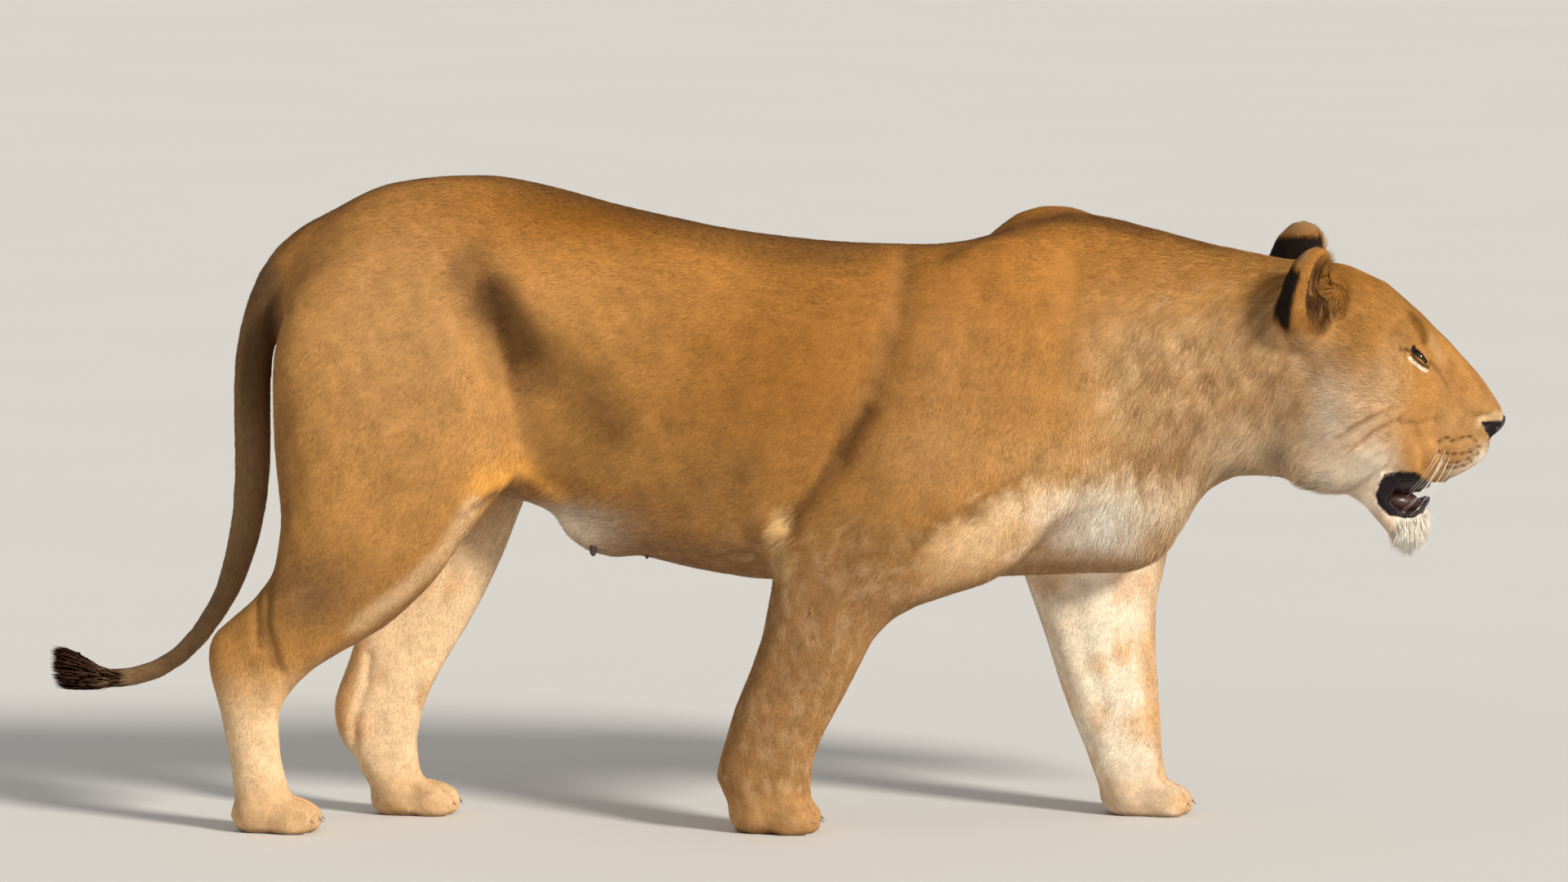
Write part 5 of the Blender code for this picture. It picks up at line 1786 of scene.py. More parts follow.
@dataclass
class Coat:
    """The tufts, rooted on the skin. Sizes are in metres."""

    skin: bpy.types.Object
    lie: Lie
    markings: Markings
    straight_limit: float = 0.030
    clump_limit: float = 0.018
    ground_gap: float = 0.001
    margin: float = 0.004
    locks: int = 14

    def __post_init__(self) -> None:
        """Reads the skin."""
        mesh = self.skin.data
        mesh.calc_loop_triangles()
        self.points, self.normals = read(mesh), normals_of(mesh)
        flat = np.empty(3 * len(mesh.loop_triangles), np.int32)
        mesh.loop_triangles.foreach_get("vertices", flat)
        self.faces = flat.reshape(-1, 3)
        corners = self.points[self.faces]
        cross = np.cross(corners[:, 1] - corners[:, 0], corners[:, 2] - corners[:, 0])
        self.areas = np.linalg.norm(cross, axis=1) / 2
        middles = corners.mean(1)
        self.zones = self._zones(middles)
        self.bare = self._bare(middles, unit(cross))

    @staticmethod
    def _zones(p: Array) -> Array:
        """The zone of each place, as its number in the list of zones."""
        x, y, z = p.T
        upright = HEAD.upright(p)
        number = {zone: k for k, zone in enumerate(Zone)}
        made = np.full(len(p), number[Zone.RIBS])
        made[x > 0.155] = number[Zone.SHOULDER]
        made[(x > 0.425) & (z > 0.40)] = number[Zone.THROAT]
        made[(x > 0.425) & (z > 0.62)] = number[Zone.NECK]
        made[x > 0.775] = number[Zone.HEAD]
        made[x > 0.865] = number[Zone.FACE]
        made[x < -0.13] = number[Zone.FLANK]
        made[x < -0.40] = number[Zone.RUMP]
        made[(x > -0.15) & (x < 0.70) & (z < 0.37) & (np.abs(y) > 0.035)] = number[Zone.FORELEGS]
        made[(x < -0.33) & (z < 0.46)] = number[Zone.HINDLEGS]
        made[TAIL.share(p) > 0.5] = number[Zone.TAIL]
        made[x < -0.935] = number[Zone.TUFT]
        for ear in EARS:
            own = ear.local(upright)
            near = (np.linalg.norm(own, axis=1) < 1.22) & (own[:, 2] > -0.62)
            made[near & (upright[:, 1] * ear.side > 0.045)] = number[Zone.EARS]
        return made

    @staticmethod
    def _bare(p: Array, n: Array) -> Array:
        """True where no hair grows: lips, mouth, lids, nose and soles."""
        upright, outward = HEAD.pair(p, n)
        bare = lip_share(upright, outward) > 0.35
        bare |= nose_share(upright) > 0.5
        bare &= p[:, 0] > 0.80
        for side in (-1, 1):
            bare |= EYE.rim_share(p, side, 0.0041, 0.0039) > 0.5
        return bare | (p[:, 2] < 0.006)

    def build(self) -> None:
        """Grows every zone and dresses it."""
        for number, growth in enumerate(GROWTHS):
            chosen = np.flatnonzero((self.zones == number) & ~self.bare)
            if len(chosen):
                self._zone(growth, chosen, number)

    def _zone(self, growth: Growth, chosen: Array, number: int) -> None:
        """Grows one zone.

        Args:
            growth: How thickly.
            chosen: The faces of the skin that belong to it.
            number: What its random draw starts from.
        """
        rng = np.random.default_rng(100 + number)
        unwrapped = self._unwrap(chosen)
        wanted = self.areas[chosen] * growth.density
        counts = np.floor(wanted + rng.random(len(chosen))).astype(int)
        face = np.repeat(np.arange(len(chosen)), counts)
        u, v = rng.random(len(face)), rng.random(len(face))
        over = u + v > 1
        u[over], v[over] = 1 - u[over], 1 - v[over]
        share = np.stack([1 - u - v, u, v], 1)
        corners = self.faces[chosen][face]
        roots = (self.points[corners] * share[:, :, None]).sum(1)
        normals = unit((self.normals[corners] * share[:, :, None]).sum(1))
        places = (unwrapped[face] * share[:, :, None]).sum(1)
        mesh = self._tufts(growth, roots, normals, places, rng)
        mesh.materials.append(TuftFinish().material())
        finished(new_object(growth.zone.value, mesh), growth.slot)

    def _unwrap(self, chosen: Array) -> Array:
        """Unwraps a zone of the skin by its own shape.

        Args:
            chosen: The faces of the zone.

        Returns:
            The place of each corner of each face on the unwrap, from 0 to 1.
        """
        used, index = np.unique(self.faces[chosen], return_inverse=True)
        mesh = bpy.data.meshes.new("unwrap")
        mesh.from_pydata(self.points[used].tolist(), [], index.reshape(-1, 3).tolist())
        mesh.uv_layers.new(name=UNWRAP)
        obj = new_object("unwrap", mesh)
        bpy.context.view_layer.objects.active = obj
        obj.select_set(True)
        bpy.ops.object.mode_set(mode="EDIT")
        bpy.ops.mesh.select_all(action="SELECT")
        bpy.ops.uv.smart_project(angle_limit=math.radians(75), island_margin=self.margin)
        bpy.ops.object.mode_set(mode="OBJECT")
        flat = np.empty(2 * len(mesh.loops), np.float32)
        mesh.uv_layers[UNWRAP].data.foreach_get("uv", flat)
        bpy.data.objects.remove(obj)
        bpy.data.meshes.remove(mesh)
        places = flat.reshape(-1, 3, 2).astype(float)
        low, high = places.min((0, 1)), places.max((0, 1))
        return self.margin + (1 - 2 * self.margin) * (places - low) / np.maximum(high - low, 1e-6)

    def _tufts(
        self, growth: Growth, roots: Array, normals: Array, places: Array, rng: np.random.Generator
    ) -> bpy.types.Mesh:
        """Makes the joined mesh of a zone's tufts.

        Args:
            growth: How wide the tufts are.
            roots: Where each stands on the skin.
            normals: The way out of the skin there.
            places: Where each root is on the unwrap.
            rng: The zone's random draw.

        Returns:
            A mesh of closed tufts with their colours and their places on the unwrap.
        """
        count, outward = len(roots), normals
        length = self.lie.length(roots, normals) * rng.uniform(0.72, 1.12, count)
        lift = self.lie.lift(roots, normals) * rng.uniform(0.75, 1.20, count)
        way = self.lie.direction(roots, normals)
        across = unit(np.cross(normals, way))
        stray = rng.normal(0, 0.085, count)
        way = unit(way + across * stray[:, None])
        across = unit(np.cross(normals, way))
        heading = way * np.cos(lift)[:, None] + normals * np.sin(lift)[:, None]
        brush = soft(roots[:, 0], -0.925, -0.950)[:, None]
        straight = unit(TAIL.way(roots) + 0.16 * normals + rng.normal(0, 0.05, (count, 3)))
        heading = unit(heading + brush * (straight - heading))
        free = unit(np.cross(heading, rng.normal(0, 1, (count, 3))))
        across = unit(across + (brush > 0.02) * (free - across))
        above = np.cross(across, heading)
        above = above * np.where((above * normals).sum(1) < 0, -1.0, 1.0)[:, None]
        normals = unit(normals + (brush > 0.02) * (above - normals))
        tips = roots + heading * length[:, None]
        clumping = length > self.clump_limit
        if clumping.any():
            tips = self._clumped(roots, tips, clumping, rng)
        tips[:, 2] = np.maximum(tips[:, 2], self.ground_gap)
        long = length > self.straight_limit
        width = growth.width * rng.uniform(0.75, 1.25, count) * np.interp(length, [0.008, 0.05], [0.85, 1.35])
        hues = self._colours(roots, outward, rng)
        builder = TuftBuilder()
        for chosen, rings in ((~long, 1), (long, 2)):
            if chosen.any():
                picked = [part[chosen] for part in (roots, tips, normals, across, width, places)]
                builder.add(*picked, [part[chosen] for part in hues], rings)
        return builder.mesh()

    def _clumped(self, roots: Array, tips: Array, long: Array, rng: np.random.Generator) -> Array:
        """Draws the tips of long tufts together into locks.

        Args:
            roots: Where the tufts stand.
            tips: Where they end.
            long: Which of them are long.
            rng: The zone's random draw.

        Returns:
            Where they end then.
        """
        numbers = np.flatnonzero(long)
        leaders = rng.choice(numbers, max(1, len(numbers) // self.locks), replace=False)
        tree = kdtree.KDTree(len(leaders))
        for k, leader in enumerate(leaders):
            tree.insert(roots[leader], k)
        tree.balance()
        nearest = np.array([leaders[tree.find(roots[i])[1]] for i in numbers])
        pull = rng.uniform(0.10, 0.40, len(numbers))[:, None]
        moved = tips.copy()
        goal = tips[nearest]
        moved[numbers] = tips[numbers] + pull * (goal - tips[numbers])
        return moved

    def _colours(self, roots: Array, normals: Array, rng: np.random.Generator) -> tuple[Array, Array]:
        """The colours of the tufts at their roots and tips.

        Args:
            roots: Where the tufts stand.
            normals: The way out of the skin there.
            rng: The zone's random draw.

        Returns:
            Two colours for each tuft.
        """
        base = self.markings.colours(roots, normals)
        count = len(roots)
        tone = 1 + rng.normal(0, 0.07, count)
        warm = rng.normal(0, 0.025, count)
        tint = np.stack([tone * (1 + warm), tone, tone * (1 - 2.0 * warm)], 1)
        dark = rng.random(count) < 0.03
        tint[dark] *= 0.78
        pale = rng.random(count) < 0.06
        tint[pale] *= 1.12
        base = np.clip(base * tint, DARKEST, PALEST)
        return base * 0.94, np.clip(base * 1.06, DARKEST, PALEST)


@dataclass
class TuftBuilder:
    """Joins tufts into one mesh. Each is a closed, three-sided spike that tapers to its tip."""

    patch: float = 0.003
    sink: float = 0.0004
    bow: float = 0.10
    bend_at: float = 0.52
    bend_width: float = 0.80
    thickness: float = 0.38
    corners: Line = ((-1.0, 0.0), (1.0, 0.0), (0.0, 1.0))
    total: int = 0
    points: list[Array] = field(default_factory=list)
    faces: list[Array] = field(default_factory=list)
    hues: list[Array] = field(default_factory=list)
    normals: list[Array] = field(default_factory=list)
    places: list[Array] = field(default_factory=list)

    def add(
        self,
        roots: Array,
        tips: Array,
        normals: Array,
        across: Array,
        width: Array,
        places: Array,
        hues: Sequence[Array],
        rings: int,
    ) -> None:
        """Adds tufts of one kind.

        Args:
            roots: Where each stands.
            tips: Where each ends.
            normals: The way out of the skin.
            across: The way across each tuft.
            width: How wide each is at its root.
            places: Where each root is on the unwrap.
            hues: The colours of the roots and of the tips.
            rings: 1 for a straight spike and 2 for one that bends once.
        """
        count = len(roots)
        half = width[:, None] / 2
        reach = np.linalg.norm(tips - roots, axis=1)[:, None]
        points, hue, shade, spread = [], [], [], []
        for ring in range(rings):
            t, size = (self.bend_at, half * self.bend_width) if ring else (0.0, half)
            middle = roots + (tips - roots) * t
            middle = middle + normals * (self.bow * reach) if ring else middle - normals * self.sink
            for aside, above in self.corners:
                points.append(middle + across * size * aside + normals * size * above * self.thickness)
                hue.append(hues[0] + (hues[1] - hues[0]) * t)
                shade.append(unit(normals + across * (0.14 * aside)))
                spread.append(np.array([0.5 + 0.5 * aside * (1 - 0.4 * t), t + 0.2 * above]))
        points.append(tips)
        hue.append(hues[1])
        shade.append(normals)
        spread.append(np.array([0.5, 1.0]))
        each = 3 * rings + 1
        faces = [(0, 2, 1)]
        for ring in range(rings - 1):
            for a, b in ((0, 1), (1, 2), (2, 0)):
                low, high = 3 * ring, 3 * ring + 3
                faces += [(low + a, low + b, high + b), (low + a, high + b, high + a)]
        last = 3 * (rings - 1)
        faces += [(last + a, last + b, each - 1) for a, b in ((0, 1), (1, 2), (2, 0))]
        start = self.total + each * np.arange(count)[:, None, None]
        self.faces.append((start + np.array(faces)[None]).reshape(-1, 3))
        self.points.append(np.stack(points, 1).reshape(-1, 3))
        self.hues.append(np.stack(hue, 1).reshape(-1, 3))
        self.normals.append(np.stack(shade, 1).reshape(-1, 3))
        offsets = (np.array(spread) - 0.5) * self.patch
        low = self.patch / 2
        centres = np.clip(places, low, 1 - low)
        self.places.append((centres[:, None] + offsets[None]).reshape(-1, 2))
        self.total += each * count

    def mesh(self) -> bpy.types.Mesh:
        """The joined mesh, with colours, soft normals and the unwrap."""
        points = np.concatenate(self.points).astype(np.float32)
        faces = np.concatenate(self.faces).astype(np.int32)
        mesh = bpy.data.meshes.new("tufts")
        mesh.vertices.add(len(points))
        mesh.vertices.foreach_set("co", points.ravel())
        mesh.loops.add(faces.size)
        mesh.loops.foreach_set("vertex_index", faces.ravel())
        mesh.polygons.add(len(faces))
        mesh.polygons.foreach_set("loop_start", np.arange(0, faces.size, 3, dtype=np.int32))
        mesh.update(calc_edges=True)
        mesh.shade_smooth()
        layer = mesh.uv_layers.new(name=UNWRAP)
        spread = np.concatenate(self.places).astype(np.float32)[faces.ravel()]
        layer.data.foreach_set("uv", spread.ravel())
        set_colour(mesh, "hue", np.concatenate(self.hues))
        normals = np.concatenate(self.normals).astype(np.float32)
        free = mesh.attributes.new("custom_normal", "FLOAT_VECTOR", "POINT")
        free.data.foreach_set("vector", normals.ravel())
        return mesh


# Fittings of the head and feet


@dataclass(frozen=True)
class Eyes:
    """The two eyeballs, each with a cornea that stands proud."""

    gaze: Point = (0.62, 0.70, -0.02)
    gaze_share: float = 0.6
    cornea: float = 0.0012

    def build(self) -> None:
        """Makes and dresses both eyes."""
        finish = EyeFinish().material()
        for side, name in ((1, "left"), (-1, "right")):
            centre, out, _, _ = EYE.axes(side)
            mirror = np.array([1, side, 1])
            ahead = HEAD.leaning_way((unit(np.array(self.gaze)) * mirror)[None])[0]
            gaze = unit(ahead * self.gaze_share + out * (1 - self.gaze_share))
            mesh = ball("eyeball", 64, 48, EYE.radius)
            turn = Vector(gaze).to_track_quat("Z", "Y").to_matrix().to_4x4()
            mesh.transform(Matrix.Translation(centre) @ turn)
            points = read(mesh)
            away = unit(points - centre)
            angle = np.arccos(np.clip(away @ gaze, -1, 1))
            points += away * (self.cornea * soft(angle, 0.62, 0.15))[:, None]
            write(mesh, points)
            mesh.shade_smooth()
            set_value(mesh, "polar", angle)
            mesh.materials.append(finish)
            finished(new_object(f"eyeball_{name}", mesh), "eye", f"{name}_eye")


@dataclass(frozen=True)
class RoundPiece:
    """A rounded piece of the nose or mouth, made from a ball.

    Sizes are in metres and the tilt is in degrees. The node is the one that the piece stands
    for. It is empty where the piece stands for none.
    """

    name: str
    node: str
    finish: MoistFinish
    centre: Point
    radii: Point
    tilt: float = 0.0
    columns: int = 48
    rows: int = 36

    def build(self) -> None:
        """Makes the piece and dresses it."""
        mesh = ball(self.name, self.columns, self.rows)
        p = self.shaped(*read(mesh).T) * np.array(self.radii)
        c, s = math.cos(math.radians(self.tilt)), math.sin(math.radians(self.tilt))
        p = np.stack([p[:, 0] * c + p[:, 2] * s, p[:, 1], -p[:, 0] * s + p[:, 2] * c], 1)
        write(mesh, HEAD.leaning(p + np.array(self.centre)))
        mesh.shade_smooth()
        mesh.materials.append(self.finish.material())
        nodes = (self.node,) if self.node else ()
        finished(new_object(self.name, mesh), self.node, *nodes)

    def shaped(self, x: Array, y: Array, z: Array) -> Array:
        """The shape of the piece.

        Args:
            x: How far ahead each point of a ball of radius 1 lies.
            y: How far aside.
            z: How far up.

        Returns:
            Where the points go, as shares of the piece's radii.
        """
        return np.stack([x, y, z], 1)


class NosePad(RoundPiece):
    """The leathery nose with its two nostrils and the groove under it."""

    def shaped(self, x: Array, y: Array, z: Array) -> Array:
        """A wide pad that narrows downwards, with hollows for the nostrils."""
        square = 1 + 0.10 * np.abs(y) ** 3
        narrow = 1 - 0.50 * soft(-z, -0.1, 1.0)
        x, y, z = x * square, y * narrow, z * (1 - 0.12 * np.abs(y))
        both = np.stack([x, np.abs(y), z], 1)
        nostril = mound(both, (0.72, 0.50, -0.10), (0.60, 0.22, 0.34))
        wing = mound(both, (0.30, 0.82, 0.20), (0.60, 0.16, 0.20))
        groove = bell(y, 0.075) * soft(z, 0.25, -0.25) * (x > 0)
        shrink = 1 - 0.52 * nostril - 0.20 * wing - 0.13 * groove
        return np.stack([x, y, z], 1) * shrink[:, None]


class Tongue(RoundPiece):
    """The tongue, hollowed along its middle."""

    def shaped(self, x: Array, y: Array, z: Array) -> Array:
        """A long pad with a furrow on top, narrower in front."""
        z = z - 0.34 * bell(y, 0.30) * soft(z, 0.0, 0.8)
        return np.stack([x, y * (1 - 0.30 * soft(x, 0.1, 1.0)), z], 1)


@dataclass(frozen=True)
class Palate(RoundPiece):
    """The dark ribbed roof of the mouth, over the tongue."""

    ribs: int = 7

    def shaped(self, x: Array, y: Array, z: Array) -> Array:
        """A pad with ribs across its lower side."""
        rib = 1 + 0.035 * np.cos(math.pi * self.ribs * x) * soft(-z, 0.0, 0.5)
        return np.stack([x, y, z], 1) * rib[:, None]


ROUND_PIECES = (
    NosePad(
        "nose_pad",
        "nose",
        MoistFinish("nose_leather", (0.012, 0.008, 0.008), (0.035, 0.018, 0.016), 0.46, 0.0016, 0.0005),
        (1.0203, 0.0, 0.5672), (0.0088, 0.0310, 0.0200), 43, 72, 56,
    ),
    Tongue(
        "tongue_body",
        "tongue",
        # Painted shade: the tongue's red laid dark, as it lies in the shade of the mouth
        MoistFinish("tongue_shaded_red", (0.040, 0.012, 0.011), (0.085, 0.028, 0.024), 0.40, 0.0022, 0.0006),
        (0.8788, 0.0, 0.4615), (0.0435, 0.0285, 0.0180), 14,
    ),
    Palate(
        "palate",
        "",
        MoistFinish("palate_skin", (0.022, 0.007, 0.006), (0.060, 0.020, 0.017), 0.42, 0.0022, 0.0005),
        (0.889, 0.0, 0.4905), (0.0435, 0.0330, 0.0210), rows=40,
    ),
)


@dataclass(frozen=True)
class LowerLip:
    """The black edge of the lower lip, from one corner of the mouth round the chin to the other."""

    line: tuple[Point, ...] = (
        (0.8690, 0.050, 0.506), (0.8650, 0.049, 0.488), (0.8660, 0.047, 0.470), (0.8760, 0.044, 0.455),
        (0.8910, 0.041, 0.4470), (0.9060, 0.035, 0.4500), (0.9220, 0.024, 0.4610), (0.9300, 0.000, 0.4640),
    )
    thickness: float = 0.0017
    height: float = 0.0050
    proud: float = 0.0012
    steps: int = 72
    sides: int = 12
    finish: MoistFinish = MoistFinish(
        "lip_skin", (0.010, 0.007, 0.008), (0.030, 0.018, 0.018), 0.28, 0.0018, 0.0003
    )

    def build(self) -> None:
        """Makes and dresses the lip."""
        path, taper = self._path()
        way = unit(np.gradient(path, axis=0))
        corner = soft(path[:, 2], 0.470, 0.496)[:, None]
        inward = unit((1 - corner) * np.array([-0.25, 0, -1.0]) + corner * np.array([-1.0, 0, -0.25]))
        inward = unit(inward - (inward * way).sum(1)[:, None] * way)
        aside = np.cross(way, inward)
        middle = path + inward * (self.height - self.proud)
        rings = [
            middle + taper * (aside * self.thickness * math.sin(a) + inward * self.height * math.cos(a))
            for a in np.linspace(0, 2 * math.pi, self.sides, endpoint=False)
        ]
        mesh = bpy.data.meshes.new("lower_lip")
        points = HEAD.leaning(np.stack(rings, 1).reshape(-1, 3))
        mesh.from_pydata([tuple(p) for p in points], [], self._faces())
        bm = bmesh.new()
        bm.from_mesh(mesh)
        bmesh.ops.recalc_face_normals(bm, faces=bm.faces)
        bm.to_mesh(mesh)
        bm.free()
        mesh.shade_smooth()
        mesh.materials.append(self.finish.material())
        finished(new_object("lower_lip", mesh), "nose")

    def _path(self) -> tuple[Array, Array]:
        """The middle of the lip on the skin, and how thick it is at each step."""
        half = np.array(self.line)
        whole = np.concatenate([half, half[-2::-1] * np.array([1, -1, 1])])
        at = np.concatenate([[0], np.cumsum(np.linalg.norm(np.diff(whole, axis=0), axis=1))])
        along = np.linspace(0, at[-1], self.steps)
        path = np.stack([np.interp(along, at, whole[:, k]) for k in range(3)], 1)
        path[:, 1] = self._on_skin(path)
        for _ in range(6):
            path[1:-1] = (path[:-2] + 2 * path[1:-1] + path[2:]) / 4
        taper = np.minimum(1, 0.35 + 3.0 * np.minimum(along, at[-1] - along) / at[-1] * 6)
        return path, taper[:, None]

    def _faces(self) -> list[tuple[int, ...]]:
        """The faces of the tube and its two ends."""
        faces = []
        for low in range(0, (self.steps - 1) * self.sides, self.sides):
            for j in range(self.sides):
                a, b = low + j, low + (j + 1) % self.sides
                faces.append((a, b, b + self.sides, a + self.sides))
        faces.append(tuple(range(self.sides - 1, -1, -1)))
        faces.append(tuple(range((self.steps - 1) * self.sides, self.steps * self.sides)))
        return faces

    @staticmethod
    def _on_skin(path: Array) -> Array:
        """How far aside the skin lies at each place of a path, in the head's frame."""
        skin = bpy.data.objects["skin"]
        aside = path[:, 1].copy()
        for k, (x, y, z) in enumerate(path):
            if abs(y) < 0.020:
                continue
            start = HEAD.leaning(np.array([[x, math.copysign(0.2, y), z]]))[0]
            way = HEAD.leaning_way(np.array([[0.0, -math.copysign(1.0, y), 0.0]]))[0]
            found, place, _, _ = skin.ray_cast(Vector(start), Vector(way))
            if found:
                reach = abs(HEAD.upright(np.array([place]))[0, 1])
                aside[k] = math.copysign(min(max(reach, 0.022), 0.056), y)
        return aside


class SpineTree:
    """Geometry Nodes that set a tapered, bent spine on every point: whiskers and claws."""

    def __init__(self, name: str, finish: bpy.types.Material) -> None:
        """Builds the tree.

        Args:
            name: What the tree is called.
            finish: The material of the spines.
        """
        self.tree = bpy.data.node_groups.new(name, "GeometryNodeTree")
        face = self.tree.interface
        face.new_socket("Geometry", in_out="INPUT", socket_type="NodeSocketGeometry")
        for label, value in (("Root Radius", 0.0005), ("Tip Radius", 0.0001), ("Bend", 0.2)):
            face.new_socket(label, in_out="INPUT", socket_type="NodeSocketFloat").default_value = value
        for label, value in (("Steps", 8), ("Sides", 6)):
            face.new_socket(label, in_out="INPUT", socket_type="NodeSocketInt").default_value = value
        face.new_socket("Geometry", in_out="OUTPUT", socket_type="NodeSocketGeometry")
        self.finish = finish
        self._wire()

    def _wire(self) -> None:
        """Adds and links the nodes."""
        g = Graph(self.tree)
        inside, outside = g.node("NodeGroupInput").outputs, g.node("NodeGroupOutput")
        line = g.feed(g.node("GeometryNodeCurvePrimitiveLine"), End=(0, 0, 1))
        fine = g.feed(g.node("GeometryNodeResampleCurve"), Curve=line.outputs[0], Count=inside["Steps"])
        share = g.node("GeometryNodeSplineParameter").outputs["Factor"]
        bowed = g.maths("MULTIPLY", g.maths("MULTIPLY", share, share), inside["Bend"])
        offset = g.feed(g.node("ShaderNodeCombineXYZ"), X=bowed)
        bent = g.feed(g.node("GeometryNodeSetPosition"), Geometry=fine.outputs[0], Offset=offset.outputs[0])
        span = g.maths("SUBTRACT", inside["Tip Radius"], inside["Root Radius"])
        radius = g.maths("MULTIPLY_ADD", share, span, inside["Root Radius"])
        ring = g.node("GeometryNodeCurvePrimitiveCircle", mode="RADIUS")
        g.feed(ring, Resolution=inside["Sides"], Radius=1.0)
        tube = g.node("GeometryNodeCurveToMesh")
        g.feed(tube, Curve=bent.outputs[0], Profile_Curve=ring.outputs[0], Scale=radius, Fill_Caps=True)
        placed = g.node("GeometryNodeInstanceOnPoints")
        g.feed(placed, Points=inside["Geometry"], Instance=tube.outputs[0])
        for socket, name in (("Rotation", "turn"), ("Scale", "size")):
            read_back = g.node("GeometryNodeInputNamedAttribute", data_type="FLOAT_VECTOR")
            g.feed(read_back, Name=name)
            self.tree.links.new(read_back.outputs["Attribute"], placed.inputs[socket])
        real = g.feed(g.node("GeometryNodeRealizeInstances"), Geometry=placed.outputs[0])
        smooth = g.feed(g.node("GeometryNodeSetShadeSmooth"), Geometry=real.outputs[0])
        dressed = g.feed(g.node("GeometryNodeSetMaterial"), Geometry=smooth.outputs[0], Material=self.finish)
        g.feed(outside, Geometry=dressed.outputs[0])

    def grow(
        self, name: str, roots: Array, ways: Array, sags: Array, lengths: Array, **inputs: float
    ) -> bpy.types.Object:
        """Sets spines on points and turns them into a plain mesh.

        Args:
            name: What the finished object is called.
            roots: Where the spines stand.
            ways: The way each points.
            sags: The way each bends.
            lengths: How long each is.
            inputs: The tree's inputs by name, with _ for a space.

        Returns:
            The finished object, without a modifier.
        """
        mesh = bpy.data.meshes.new(name)
        mesh.from_pydata([tuple(r) for r in roots], [], [])
        turns, sizes = [], []
        for way, sag, length in zip(unit(ways), sags, lengths):
            side = unit(sag - way * (sag @ way))
            third = np.cross(way, side)
            turns.append(Matrix(np.stack([side, third, way], 1).tolist()).to_euler())
            sizes.append((1.0, 1.0, length))
        for label, rows in (("turn", turns), ("size", sizes)):
            attribute = mesh.attributes.new(label, "FLOAT_VECTOR", "POINT")
            attribute.data.foreach_set("vector", np.array([tuple(r) for r in rows], np.float32).ravel())
        obj = new_object(f"{name}_points", mesh)
        modifier = obj.modifiers.new("spines", "NODES")
        modifier.node_group = self.tree
        items = self.tree.interface.items_tree
        named = {item.name: item.identifier for item in items if item.in_out == "INPUT"}
        for label, value in inputs.items():
            modifier[named[label.replace("_", " ")]] = value
        made = evaluated(obj)
        if not made.materials:
            made.materials.append(self.finish)
        return new_object(name, made)


@dataclass(frozen=True)
class Whiskers:
    """The white whiskers of the lip."""

    places: Line = (
        (0.932, 0.549), (0.945, 0.545), (0.940, 0.536), (0.953, 0.535), (0.936, 0.527),
        (0.948, 0.526), (0.960, 0.527), (0.936, 0.541), (0.948, 0.539), (0.942, 0.531),
    )
    aside: float = 0.058
    sway: float = 0.08
    shortest: float = 0.060
    longest: float = 0.100

    def build(self) -> None:
        """Makes and dresses the whiskers."""
        finish = HornFinish("whisker", (0.75, 0.70, 0.62), (0.90, 0.87, 0.82), 0.4).material()
        tree = SpineTree("whisker_tree", finish)
        rng = np.random.default_rng(51)
        roots, ways, sags, lengths = [], [], [], []
        for side in (-1, 1):
            for x, z in self.places:
                roots.append((x, side * self.aside, z))
                lean = rng.uniform(-self.sway, self.sway, 3)
                ways.append((-0.32 + lean[0], side * (0.55 + lean[1]), -0.84 + lean[2]))
                sags.append((-1.0, -0.60 * side, -0.25))
                lengths.append(rng.uniform(self.shortest, self.longest))
        roots = self._on_skin(HEAD.leaning(np.array(roots)))
        made = tree.grow(
            "whiskers",
            roots,
            HEAD.leaning_way(np.array(ways)),
            HEAD.leaning_way(np.array(sags)),
            np.array(lengths),
            Root_Radius=0.00034,
            Tip_Radius=0.00010,
            Bend=0.030,
            Steps=10,
            Sides=5,
        )
        finished(made, "coat")

    @staticmethod
    def _on_skin(roots: Array) -> Array:
        """Moves each root to the skin beside it."""
        skin = bpy.data.objects["skin"]
        moved = []
        for root in roots:
            found, place, normal, _ = skin.closest_point_on_mesh(Vector(root))
            moved.append(place - normal * 0.001 if found else Vector(root))
        return np.array(moved)


@dataclass(frozen=True)
class Claws:
    """The claws, drawn back between the toes so that only their points show."""

    ahead: float = 0.084
    height: float = 0.0215
    length: float = 0.0105

    def build(self) -> None:
        """Makes and dresses the claws."""
        finish = HornFinish("claw_horn", (0.09, 0.07, 0.05), (0.26, 0.21, 0.16), 0.35).material()
        tree = SpineTree("claw_tree", finish)
        roots, ways, sags, lengths = [], [], [], []
        for paw in PAWS:
            for k in (-1.5, -0.5, 0.5, 1.5):
                ahead = self.ahead - 0.010 * abs(k)
                root = paw.place((ahead, paw.toe_width * k * 1.08, self.height))
                front = paw.place((ahead + 0.1, paw.toe_width * k * 1.25, self.height - 0.035))
                roots.append(root)
                ways.append(front - root)
                sags.append((0.0, 0.0, -1.0))
                lengths.append(self.length)
        made = tree.grow(
            "claws",
            np.array(roots),
            np.array(ways),
            np.array(sags),
            np.array(lengths),
            Root_Radius=0.0024,
            Tip_Radius=0.0003,
            Bend=0.0040,
            Steps=9,
            Sides=8,
        )
        finished(made, "nose")


